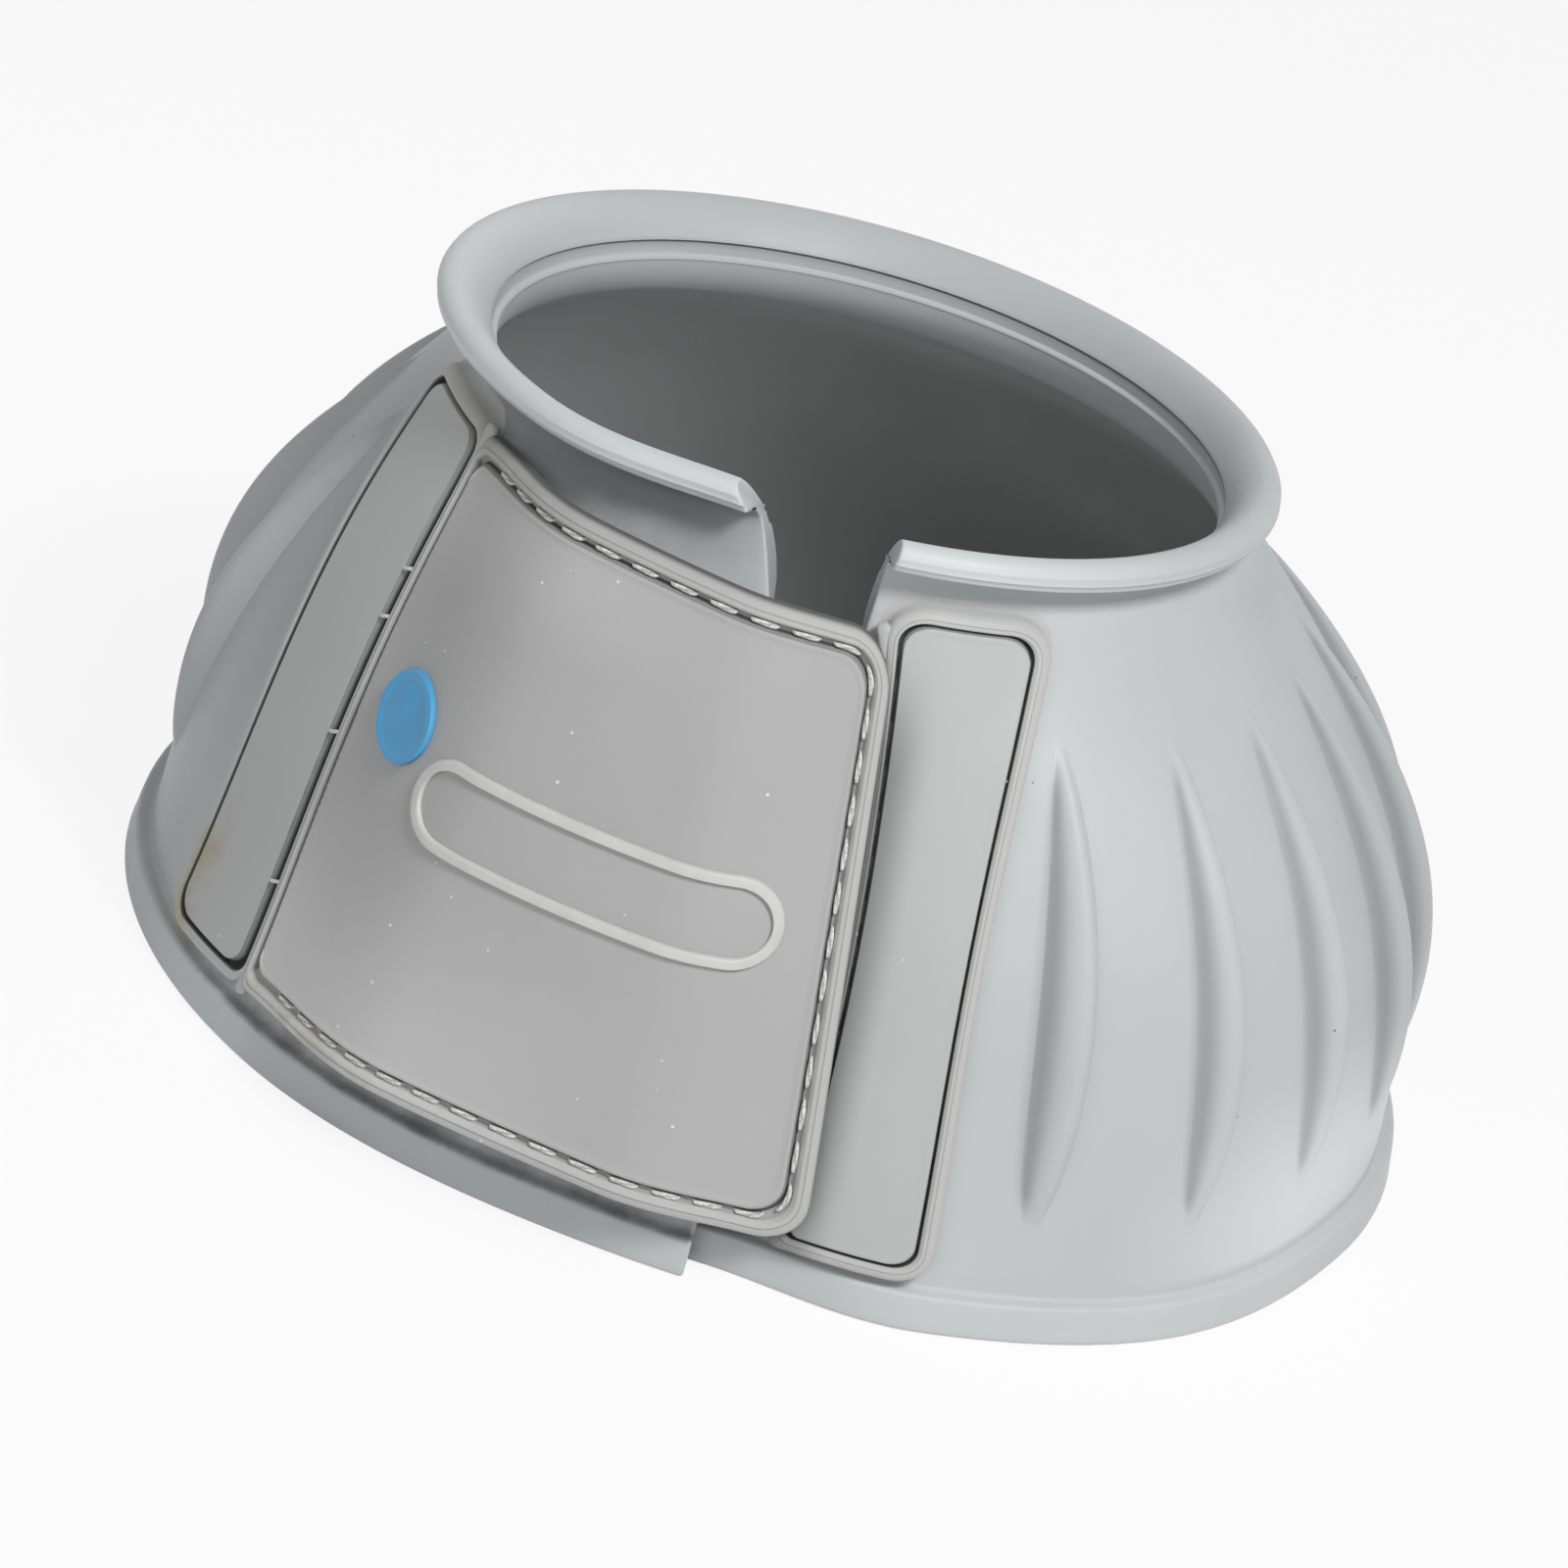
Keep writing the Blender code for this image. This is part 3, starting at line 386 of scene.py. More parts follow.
def fibre(name, colour, dark, scale, roughness):
    # Thread, loops and hooks: fine light and dark fibres, and painted shade in the valleys between a thread's plies
    nodes = Nodes(bpy.data.materials.new(name))
    strands = nodes.remap(nodes.noise(scale, *texture["strands"]), *texture["strandSpan"])
    base = nodes.mix(strands, rgba(finish[dark]), rgba(finish[colour]))
    nodes.give("Principled BSDF", {
        "Base Color": nodes.mix(nodes.mark("plyValleyShade"), base, rgba(finish[dark], texture["plyGain"])),
        "Roughness": nodes.remap(strands, 0.0, 1.0, roughness + texture["strandGloss"], roughness),
        "Normal": nodes.bump(strands, texture["strandDepth"], texture["strandShare"]),
        "Sheen Weight": texture["strandSheen"],
    })
    return nodes.owner


def paint(name, colour, roughness):
    # Badge material: even colour with faint clouding and a fine grain
    nodes, spread = Nodes(bpy.data.materials.new(name)), texture["cloudGloss"]
    clouds = nodes.remap(nodes.noise(*texture["clouds"]), *texture["contrast"])
    nodes.give("Principled BSDF", {
        "Base Color": nodes.mix(clouds, *[rgba(finish[colour], gain) for gain in texture["cloudGains"]]),
        "Roughness": nodes.remap(clouds, 0.0, 1.0, roughness - spread, roughness + spread),
        "Normal": nodes.bump(nodes.noise(*texture["paint"]), texture["paintDepth"], texture["paintShare"]),
    })
    return nodes.owner


shellRubber = rubber("shellRubber", "shell", "darkSpeck", speckShare=0.05, roughness=0.44, grain=0.25)
stripRubber = rubber("stripRubber", "strip", "stripSpeck", speckShare=0.08, roughness=0.46, grain=0.35)
flapRubber = rubber("flapRubber", "flap", "flapSpeck", speckShare=0.24, roughness=0.62, grain=0.45)
# Dark thread for the strips' seams, drawn dark as painted shade in their narrow grooves
shadeDarkThread = fibre("shadeDarkThread", "shadeDarkThread", "groove", scale=2400.0, roughness=0.8)
threadFibre = fibre("threadFibre", "thread", "threadDark", scale=2400.0, roughness=0.7)
loopFibre = fibre("loopFibre", "loop", "loopDark", scale=3000.0, roughness=0.85)
hookPlastic = fibre("hookPlastic", "hook", "hookDark", scale=1800.0, roughness=0.5)
discPaint = paint("discPaint", "disc", roughness=0.42)
platePaint = paint("platePaint", "plate", roughness=0.48)
print("materials made")


def bellRows():
    # One section as rows: heights, each row's rule (0 set radius, 1 outer wall, 2 lining) and its radius or extra
    b, steps, rows = bell, bellSteps, []
    edge, hemTop, radius, fillet = b["hemEdge"], b["hemHeight"], b["hemRadius"], b["ledgeFillet"]

    def stretch(heights, values, rule=0):
        values = np.broadcast_to(values, heights.shape)
        rows.append(np.stack((heights, np.full_like(heights, rule), values), axis=1))

    def arc(height, middle, up, out, first, last, count, rule=0):  # part of an ellipse, given by its half axes
        sine, cosine = arcShares(first, last, count)
        stretch(height + up * sine, middle + out * cosine, rule)

    # The hem, its ledge and the outer wall
    arc(edge, radius - edge, edge, edge, -90.0, 0.0, steps["hemFoot"])
    side = np.linspace(edge, hemTop - edge, steps["hemSide"])[1:-1]
    stretch(side, radius - b["hemTaper"] * side / hemTop)
    arc(hemTop - edge, radius - b["hemTaper"] - edge, edge, edge, 0.0, 90.0, steps["hemTop"])
    arc(hemTop + fillet, fillet, -fillet, -fillet, 90.0, 0.0, steps["hemTop"], 1)
    stretch(np.linspace(hemTop + fillet, b["neckHeight"], steps["wall"])[1:], 0.0, 1)
    # The sweep from the neck and the bead with its fine lines
    halfWidth, halfHeight = 0.5 * b["beadWidth"], 0.5 * b["beadHeight"]
    middle, beadMiddle = b["rimRadius"] - halfWidth, b["rimHeight"] - halfHeight
    rise, sweep = beadMiddle - halfHeight - b["neckHeight"], middle - b["neckRadius"] - b["hair"]
    arc(b["neckHeight"], b["neckRadius"] + sweep, rise, -sweep, 90.0 / (steps["sweep"] - 1), 90.0, steps["sweep"] - 1)
    turns = np.linspace(*b["beadTurns"], steps["bead"])
    lines = sum(size * peak(turns, at, width) for at, width, size in b["beadLines"])
    reach = 1.0 + b["beadLine"] * lines / halfWidth
    arc(beadMiddle, middle, halfHeight * reach, halfWidth * reach, *b["beadTurns"], steps["bead"])
    # The funnel: a straight slope and a parabola, down to the parting groove
    down = np.linspace(0.0, 1.0, steps["funnel"])[1:]
    top, _, start = rows[-1][-1]
    fall = b["funnelSlope"] * (start - b["partingRadius"])
    drop = fall * down + (top - b["partingHeight"] - fall) * down ** 2
    stretch(top - drop, start + (b["partingRadius"] - start) * down)
    notch = np.array(b["notchShares"])
    depth = b["partingDepth"] * np.sqrt(np.sin(math.pi * notch))
    stretch(b["partingHeight"] - b["partingWidth"] * notch, b["partingRadius"] + depth)
    # The bore, the lining and the inside of the hem
    band, bandTop = np.array(b["bandShares"]), b["partingHeight"] - b["partingWidth"]
    stretch(bandTop + (b["boreTop"] - bandTop) * band, b["partingRadius"] - b["hair"] * band)
    stretch(b["boreTop"] - np.array(b["boreDrops"]), b["boreRadius"] + np.array(b["boreReaches"]))
    share, top = np.linspace(0.0, 1.0, steps["bore"]), b["boreTop"] - b["boreStart"]
    stretch(top - (top - b["boreFoot"]) * share, b["boreRadius"] + b["boreFlare"] * share ** b["boreFlarePower"])
    stretch(np.linspace(b["boreFoot"] - b["liningTop"], hemTop + b["liningFoot"], steps["lining"]), 0.0, 2)
    arc(edge, radius - b["hemThickness"] + edge, -edge, -edge, 0.0, 90.0, steps["hemInside"])
    return np.concatenate(rows).T


def bellStations(heights):
    # Azimuth of each station at each row: even steps from the right end, a cluster over each rib that narrows
    # with it, a few between, and even steps to the left end
    middles = ribs["first"] + ribSpacing * np.arange(ribs["count"])[:, None, None]
    shares, gaps = [np.array(ribs[key])[None, :, None] for key in ("cluster", "between")]
    spread = np.maximum(ribHalf(ribSpan(middles, heights)[0]), ribs["leastSpread"])
    cluster = middles + ribTurn(heights) + shares * np.degrees(spread / bell["hemRadius"])
    between = cluster[:-1, -1:] + (cluster[1:, :1] - cluster[:-1, -1:]) * gaps
    body = np.concatenate([*[rows for pair in zip(cluster, between) for rows in pair], cluster[-1]])
    ends = bell["endRound"] * (1.0 - np.sin(np.radians(bell["endTurns"])))
    ends = np.degrees(ends / bell["neckRadius"])
    right = splitEnd("rightEnd", heights) + ends[:, None]
    steps = np.arange(1, bellSteps["right"])[:, None] / bellSteps["right"]
    right = np.concatenate((right, right[-1] + (body[0] - right[-1]) * steps))
    left = 360.0 + splitEnd("leftEnd", heights) - ends[::-1, None]
    steps = np.arange(1, bellSteps["left"])[:, None] / bellSteps["left"]
    left = np.concatenate((body[-1] + (left[0] - body[-1]) * steps, left))
    return np.concatenate((right, body, left))


# Painted shade, painted light and some dirt on the bell's skin: each has its strength, and its spans in degrees and in
# metres
bellSpots = {
    # smudge: dirt and painted shade behind the flap's top; overhang: painted shadow under the bead; ledge: painted
    # shade above the hem; left, right: painted shade on the sides; hem, corner: painted light low on the right
    "smudge": (0.13, ((-64.0, -55.0), (2.0, -20.0)), ((0.0812, 0.0782), (0.066, 0.068))),
    "overhang": (0.56, ((-64.0, -55.0), (2.0, -20.0)), ((0.0846, 0.0838), (0.0725, 0.0815))),
    "ledge": (0.45, ((-62.0, -52.0), (8.0, 0.0)), ((0.0068, 0.0056), (0.0042, 0.0048))),
    "left": (0.19, ((-125.0, -105.0), (-58.0, -70.0)), ((0.080, 0.076),)),
    "right": (0.09, ((62.0, 82.0), (150.0, 100.0)), ((0.080, 0.076),)),
    "hem": (0.12, ((5.0, 20.0), (150.0, 100.0)), ((0.0053, 0.0047),)),
    "corner": (0.75, ((34.0, 62.0), (150.0, 100.0)), ((0.034, 0.012), (0.0052, 0.0064))),
}
# Painted shade along a rib's left flank, in the parting notch and inside, and painted light on the bead.
# The far side's span is in degrees from 0 to 360, the bead's in rows
bellPaintedLightAndShade = {
    "shadeAndDirt": 0.39, "creasePeak": (-0.84, 0.27), "creaseEnds": (0.0, 0.3), "darkest": 0.7,
    "bead": 0.45, "beadUp": (0.0832, 0.0842), "beadRows": (-20, -6), "beadMiddle": -40.0, "beadAway": (100.0, 60.0),
    "parting": 0.8, "partingBlur": 0.0002, "lining": 0.38, "liningUp": (0.0775, 0.0685),
    "far": 0.54, "farAcross": (240.0, 140.0), "low": 0.16, "lowUp": (0.062, 0.032),
}


def bellMarks(azimuth, height, heights, rule, full):
    # Dirt and painted shade behind the flap's upper edge, painted shade on the ledge, beside the ribs, under the bead,
    # on the sides, in the parting notch and inside, and painted light on the bead and low on the right.
    # Full says which stations aren't on the rounded ends
    w, turn, row = bellPaintedLightAndShade, signed(azimuth), np.arange(len(heights)) - np.argmax(heights)
    spot = {name: patch(values, turn, height) for name, values in bellSpots.items()}
    inward = (row > 0)[None, :]
    skin = (full[:, None] & ~inward).astype(float)
    across, along, _ = ribAcross(azimuth, height)
    # Painted shade along each rib's left flank, under the bead and on the sides, held below the darkest
    shadeAndDirt = w["shadeAndDirt"] * peak(across, *w["creasePeak"]) * ramp(along, *w["creaseEnds"]) * (rule == 1)
    dark = shadeAndDirt + spot["overhang"] + spot["left"] + spot["right"]
    # Painted shade in the parting notch inside the collar
    parting = peak(height, bell["partingHeight"] - 0.5 * bell["partingWidth"], w["partingBlur"])
    # Painted shade inside the bell, darker on the right and lower down
    shade = w["lining"] + w["far"] * ramp(azimuth, *w["farAcross"]) + w["low"] * ramp(height, *w["lowUp"])
    # Painted light on the bead's top, round the front left
    bead = ramp(height, *w["beadUp"]) * ramp(-row, *w["beadRows"])
    bead = w["bead"] * bead * ramp(np.abs(turn - w["beadMiddle"]), *w["beadAway"])
    return {
        "grimeAndShade": skin * (spot["smudge"] + spot["ledge"]), "shadeAndDirt": skin * np.clip(dark, 0.0, w["darkest"]),
        "groove": w["parting"] * parting * inward * full[:, None],
        "lining": np.clip(shade, 0.0, 1.0) * ramp(height, *w["liningUp"]) * inward,
        "paintedLight": bead + skin * (spot["hem"] + spot["corner"]),
    }


def makeBell():
    heights, rule, values = bellRows()
    azimuth = bellStations(heights)
    wall = wallRadius(azimuth, heights)
    outer = wall + ribRise(azimuth, heights) + values
    lining = wall - wallDepth(azimuth, heights)
    plain = values + outOfRound(azimuth, heights)
    radius = np.where(rule == 0, plain, np.where(rule == 1, outer, lining))
    radius = radius - np.where(azimuth < 180.0, tuckDepth(azimuth, heights), 0.0)
    # Near the split the collar's left end bends inwards and up
    beside = ease(1.0 - (360.0 + splitEnd("leftEnd", heights) - azimuth) / bell["endReach"])
    bend = beside ** bell["endPower"] * ramp(heights, *bell["endUp"])
    radius = radius - bell["endPull"] * bend
    height = heights + bell["endLift"] * bend
    # The ends' edges are rounded: the outermost sections shrink along their own normals
    across, up = np.gradient(radius, axis=1), np.gradient(height, axis=1)
    length = np.hypot(across, up)
    shrink = np.zeros(len(radius))
    shrink[:4] = bell["endRound"] * (1.0 - np.cos(np.radians(bell["endTurns"])))
    shrink[-4:] = shrink[3::-1]
    radius = radius - shrink[:, None] * up / length
    height = height + shrink[:, None] * across / length
    marks = bellMarks(azimuth, height, heights, rule, shrink == 0.0)
    points = place(azimuth, radius, height)
    piece = makeObject("bellSkin", points, cappedFaces(*radius.shape), shellRubber, marks, smooth=38.0)
    settle(piece, "boot", "shell_rubber", "bell_shell")


makeBell()


def stripCurve(ends, height):  # a power curve from the strips' lower ends to their upper ends
    low, high = closure["stripUp"]
    return curve(ends, np.clip((height - low) / (high - low), 0.0, 1.0))


def foldLine(fold, height, side=0.0):  # azimuth of a fold, or half its gap to the left (-1) or the right (1)
    middle = stripCurve(closure[fold], height)
    return turnBy(middle, height, 0.5 * side * closure["foldGap"])


def outerRight(height):  # a power curve with a half sine's bow to the left
    bow = np.sin(math.pi * stripCurve((0.0, 1.0, 1.0), height))
    return stripCurve(closure["outerRight"], height) + closure["outerRightBow"] * bow


def levelLift(azimuth, height):  # a strip that lies flat on the bell
    return closure["seatGap"] + 0.0 * azimuth


def tuckedLift(azimuth, height):  # a strip that follows the tucked right end
    return closure["seatGap"] - tuckDepth(azimuth, height)


padsRoom = 2.0 * closure["padThickness"] + 2.0 * closure["seatGap"] + closure["touchGap"]


def innerLift(azimuth, height):  # eased up from the tucked right end onto the left end's pads
    low, fold = tuckedLift(azimuth, height), foldLine("innerFold", height)
    return low + (padsRoom - low) * ramp(azimuth, fold, splitEnd("leftEnd", height) - closure["climbMargin"])


def outerLift(azimuth, height):  # eased up over the inner flap, and down again onto the right strip
    high = 2.0 * padsRoom + closure["innerThickness"] + closure["lipRise"]
    climb = ramp(azimuth, foldLine("outerFold", height), closure["innerLeft"])
    lift = closure["seatGap"] + (high - closure["seatGap"]) * climb
    rest = tuckedLift(azimuth, height) + closure["stripThickness"] + closure["lipRise"] + closure["touchGap"]
    return lift + (rest - lift) * ramp(azimuth, closure["fallStart"], outerRight(height))


# The four sheets: edges as azimuths, low and high edges as left height, right height and bow, and corner radii
# (lower left, lower right, upper right, upper left) of the outline and of the groove
# Each sheet has a share of the lip's paler tone and painted highlight, and strengths of painted shade on its side wall
# (wall), at the groove's brink (brink) and on the lip's side of the groove (ledge)
plainSheet = {
    "under": 0.0, "flare": 0.0, "rise": 0.0004, "dome": 0.0001, "border": 0.0018, "lipToneAndHighlightShare": 0.0, "wall": 0.0,
    "lipLine": 0.0, "ledge": 1.0, "brink": 0.0, "swell": 0.0, "thickness": 0.0017,
}
outerStrip = {
    **plainSheet, "left": lambda height: stripCurve((-61.5, -74.5, 2.0), height),
    "right": lambda height: foldLine("outerFold", height, -1.0), "foldSide": "right",
    "low": (0.0061, 0.0070, 0.0), "high": (0.0796, 0.0788, 0.0), "lift": levelLift,
    "under": 0.00056, "rise": 0.0002, "dome": 0.0, "foldBorder": 0.0003, "foldGroove": 0.0019, "round": 0.0013,
    "flare": 0.0014, "grooveWidth": 0.0007, "grooveDepth": 0.0010, "brink": 0.8,
    "corners": (0.0046, 0.0030, 0.0030, 0.0046), "grooveCorners": (0.0034, 0.0026, 0.0024, 0.0030),
}
innerStrip = {
    **plainSheet, "left": lambda height: foldLine("innerFold", height, 1.0),
    "right": lambda height: stripCurve((20.3, 34.6, 3.3), height), "foldSide": "left",
    "low": (0.0061, 0.0061, 0.0), "high": (0.0796, 0.0796, 0.0), "lift": tuckedLift,
    "under": 0.00056, "foldBorder": 0.0012, "foldGroove": 0.0006, "round": 0.0009, "flare": 0.0007, "lipToneAndHighlightShare": 0.7,
    "grooveWidth": 0.0004, "grooveDepth": 0.0007, "lipLine": 0.00010, "swell": 0.00005,
    "corners": (0.0010, 0.0044, 0.0048, 0.0048), "grooveCorners": (0.0010, 0.0028, 0.0030, 0.0030),
}
outerPanel = {
    **plainSheet, "left": lambda height: foldLine("outerFold", height, 1.0), "right": outerRight,
    "foldSide": "left", "low": (0.0076, 0.0074, 0.0026), "high": (0.0778, 0.0762, 0.0020), "lift": outerLift,
    "rise": 0.0003, "dome": 0.0002, "border": 0.0021, "foldBorder": 0.0006, "foldGroove": 0.0007, "round": 0.0008,
    "lipToneAndHighlightShare": 0.8, "wall": 0.85, "grooveWidth": 0.0012, "grooveDepth": 0.0008, "lipLine": 0.00014, "ledge": 0.18,
    "swell": 0.00014, "corners": (0.0016, 0.0066, 0.0064, 0.0014), "grooveCorners": (0.0020, 0.0044, 0.0040, 0.0020),
}
innerPanel = {
    **plainSheet, "left": lambda height: closure["innerLeft"] + 0.0 * height,
    "right": lambda height: foldLine("innerFold", height, -1.0), "foldSide": "right",
    "low": (0.0120, 0.0120, 0.0), "high": (0.0720, 0.0720, 0.0), "lift": innerLift,
    "thickness": closure["innerThickness"], "border": 0.0022, "foldBorder": 0.0006, "foldGroove": 0.0004,
    "round": 0.0006, "lipToneAndHighlightShare": 0.6, "grooveWidth": 0.0010, "grooveDepth": 0.0006, "ledge": 0.3, "swell": 0.0001,
    "corners": (0.0050, 0.0008, 0.0008, 0.0050), "grooveCorners": (0.0030, 0.0010, 0.0010, 0.0030),
}
sheetSteps = {"across": 36, "upright": 60, "corner": 9, "edge": 6, "crown": 17, "groove": 13, "bead": 6, "measure": 41}


def edgeHeight(edge, across):  # a straight line between the two ends plus a parabola's bow
    left, right, bow = edge
    return left + (right - left) * across + 4.0 * bow * across * (1.0 - across)


def sheetPoint(sheet, across, up, lift):  # shares across and up mapped between the four edges, over the bell
    low, high = edgeHeight(sheet["low"], across), edgeHeight(sheet["high"], across)
    height = low + (high - low) * up
    left = sheet["left"](height)
    azimuth = left + (sheet["right"](height) - left) * across
    return overWall(azimuth, height, sheet["lift"](azimuth, height) + lift)


def lineSteps(line):  # lengths of the steps along a line of points
    return np.linalg.norm(np.diff(line, axis=0), axis=1)


def sheetSize(sheet):  # length of the middle lines, across and upright
    shares = np.linspace(0.0, 1.0, sheetSteps["measure"])
    half = np.full_like(shares, 0.5)
    return [lineSteps(sheetPoint(sheet, *pair, 0.0)).sum() for pair in ((shares, half), (half, shares))]


def foldInset(sheet, inset):  # along the fold the border and the groove are narrower, and the rest only moves over
    groove = np.clip(inset - sheet["border"], 0.0, sheet["grooveWidth"])
    border = np.clip(inset, None, sheet["border"]) * sheet["foldBorder"] / sheet["border"]
    return border + groove * sheet["foldGroove"] / sheet["grooveWidth"]


def sheetOutline(sheet, width, height, inset):
    # Rounded rectangle at an inset, as shares, anticlockwise from the middle of its lower left corner
    left = foldInset(sheet, inset) if sheet["foldSide"] == "left" else inset
    right = width - (foldInset(sheet, inset) if sheet["foldSide"] == "right" else inset)
    low, high = inset, height - inset
    share = min(max(inset, 0.0) / sheet["border"], 1.0)
    radii = [outer + (inner - outer) * share for outer, inner in zip(sheet["corners"], sheet["grooveCorners"])]
    centres = (
        (left + radii[0], low + radii[0], 180.0), (right - radii[1], low + radii[1], 270.0),
        (right - radii[2], high - radii[2], 0.0), (left + radii[3], high - radii[3], 90.0),
    )
    arcs = []
    for (x, y, start), radius in zip(centres, radii):
        sine, cosine = arcShares(start, start + 90.0, sheetSteps["corner"])
        arcs.append(np.stack((x + radius * cosine, y + radius * sine), axis=1))
    parts = []
    for index, count in enumerate((sheetSteps["across"], sheetSteps["upright"]) * 2):
        arc, following = arcs[index], arcs[(index + 1) % 4][0]
        parts += [arc, arc[-1] + (following - arc[-1]) * np.arange(1, count)[:, None] / count]
    outline = np.concatenate(parts) / np.array((width, height))
    return np.roll(outline, -(sheetSteps["corner"] // 2), axis=0)


def fieldGrid(loop, first, offset):
    # A grid that fills a loop: opposite sides are blended and the bilinear blend of the corners taken off.
    # Gives the inner points, and the quads of all points numbered with the loop from first and the rest from offset
    wide = sheetSteps["across"] + sheetSteps["corner"] - 1
    tall = sheetSteps["upright"] + sheetSteps["corner"] - 1
    number = np.arange(len(loop))
    bottom, right = number[:wide + 1], number[wide:wide + tall + 1]
    top = number[wide + tall:2 * wide + tall + 1][::-1]
    left = np.concatenate((number[:1], number[2 * wide + tall:][::-1]))
    u = np.linspace(0.0, 1.0, wide + 1)[:, None, None]
    v = np.linspace(0.0, 1.0, tall + 1)[None, :, None]
    grid = (1.0 - v) * loop[bottom][:, None] + v * loop[top][:, None]
    grid = grid + (1.0 - u) * loop[left][None] + u * loop[right][None]
    grid = grid - (1.0 - u) * (1.0 - v) * loop[bottom[0]] - u * (1.0 - v) * loop[bottom[-1]]
    grid = grid - (1.0 - u) * v * loop[top[0]] - u * v * loop[top[-1]]
    index = np.zeros((wide + 1, tall + 1), dtype=int)
    index[1:-1, 1:-1] = offset + np.arange((wide - 1) * (tall - 1)).reshape(wide - 1, tall - 1)
    index[:, 0], index[:, -1], index[0], index[-1] = first + bottom, first + top, first + left, first + right
    return grid[1:-1, 1:-1].reshape(-1, 2), index.ravel()[gridFaces(wide + 1, tall + 1)]


# Forms and marks that all lips and grooves share, as shares of their own parts where no length is meant.
# The marks are the lip's paler tone with a painted highlight, and painted shade on the side wall and in the groove
lipForm = {
    "underShare": 0.6, "underStep": 0.0008, "linePeak": (0.3, 0.08), "lineMark": 0.3,
    "fall": 0.0003, "fallSpan": (0.7, 1.0), "groovePower": 0.8, "beadWidth": 0.0008,
    "edgeToneAndHighlight": 0.8, "toneAndHighlightLoss": 0.2, "wallShadeMarks": (0.95, 0.7, 0.3, 0.05, 0.0, 0.0),
    "grooveDarkFade": 4.0, "grooveDarkSpan": (0.5, 0.7), "grooveDarkEnd": 0.5, "brinkSpan": (0.78, 0.98),
}


def sheetProfile(sheet):
    # Insets and lifts from the underside's edge over the rounded lip and through the groove, with both parts' marks:
    # the lip's paler tone and painted highlight, painted shade on the side wall and crown, and painted shade with dirt
    # in the groove
    f, edge, top = lipForm, sheet["round"], sheet["thickness"] + sheet["rise"]
    sine, cosine = arcShares(0.0, 90.0, sheetSteps["edge"])
    if sheet["flare"]:
        under = (-sheet["flare"] * (1.0 - sine), -sheet["under"] + sheet["flare"] * (1.0 - cosine))
    else:
        under = (f["underShare"] * edge * (1.0 - sine), f["underShare"] * edge * (1.0 - cosine))
    over = (edge * (1.0 - cosine), top - edge + edge * sine)
    along, dip, swell = [np.linspace(0.0, 1.0, sheetSteps[part])[1:] for part in ("crown", "groove", "bead")]
    line = peak(along, *f["linePeak"])
    dome = sheet["dome"] * np.sin(math.pi * along) - f["fall"] * ramp(along, *f["fallSpan"])
    crown = (edge + (sheet["border"] - edge) * along, top + dome - sheet["lipLine"] * line)
    shoulder = crown[1][-1] + (sheet["thickness"] - crown[1][-1]) * ease(dip)
    sag = sheet["grooveDepth"] * np.sin(math.pi * dip) ** f["groovePower"]
    groove = (sheet["border"] + sheet["grooveWidth"] * dip, shoulder - sag)
    bead = (groove[0][-1] + f["beadWidth"] * swell, sheet["thickness"] + sheet["swell"] * np.sin(math.pi * swell))
    insets, lifts = [np.concatenate(parts) for parts in zip(under, over, crown, groove, bead)]
    rounds, rest = 2 * len(sine), len(dip) + len(swell)
    # The lip's paler tone and painted highlight, fading towards the groove
    lipToneAndHighlight = np.concatenate((np.full(rounds, f["edgeToneAndHighlight"]), 1.0 - f["toneAndHighlightLoss"] * along, np.zeros(rest)))
    # Painted shade on the side wall and under the edge
    wall = sheet["wall"] * np.concatenate((np.linspace(0.0, 1.0, len(sine)), f["wallShadeMarks"]))
    # Painted shade, with some dirt, in the groove, less on the lip's side
    grooveDark = sheet["ledge"] + (1.0 - sheet["ledge"]) * ramp(dip, *f["grooveDarkSpan"])
    grooveDark = grooveDark * np.clip(f["grooveDarkFade"] * (1.0 - dip), 0.0, 1.0)
    grooveDark[-1] = f["grooveDarkEnd"]
    # Painted shade along the lip's moulded line and at the groove's brink
    line = f["lineMark"] * line * (sheet["lipLine"] > 0.0)
    crest = np.maximum(line, sheet["brink"] * ramp(along, *f["brinkSpan"]))
    return insets, lifts, sheet["lipToneAndHighlightShare"] * lipToneAndHighlight, np.concatenate((wall, crest, grooveDark, np.zeros_like(swell)))


def makeSheet(name, sheet, material, body, slot, node, spots=None):
    # Outlines at each inset of the profile, one inside the other, with a field below and a field on top
    width, height = sheetSize(sheet)
    insets, lifts, lipToneAndHighlight, dark = sheetProfile(sheet)
    insets = np.concatenate(([insets[0] + lipForm["underStep"]], insets))
    lifts = np.concatenate(([-sheet["under"]], lifts))
    outlines = np.array([sheetOutline(sheet, width, height, inset) for inset in insets])
    loops, around = outlines.shape[:2]
    under, underFaces = fieldGrid(outlines[0], 0, loops * around)
    over, overFaces = fieldGrid(outlines[-1], (loops - 1) * around, loops * around + len(under))
    across, up = np.concatenate((outlines.reshape(-1, 2), under, over)).T
    fields = np.full(len(under), lifts[0]), np.full(len(over), sheet["thickness"])
    points = sheetPoint(sheet, across, up, np.concatenate((np.repeat(lifts, around), *fields)))
    bare = np.zeros(len(under) + len(over))
    # The lip mark is the paler tone with its painted highlight; the groove mark is painted shade on the side wall,
    # along the crown and, with dirt, in the groove
    marks = {
        mark: np.concatenate((np.repeat(np.insert(values, 0, 0.0), around), bare))
        for mark, values in (("lipToneAndHighlight", lipToneAndHighlight), ("groove", dark))
    }
    if spots:
        marks.update(spots(across, up))
    faces = np.concatenate((gridFaces(loops, around, closeColumns=True), underFaces, overFaces))
    piece = makeObject(name, points, faces, material, marks, smooth=60.0)
    settle(piece, body, slot, node)


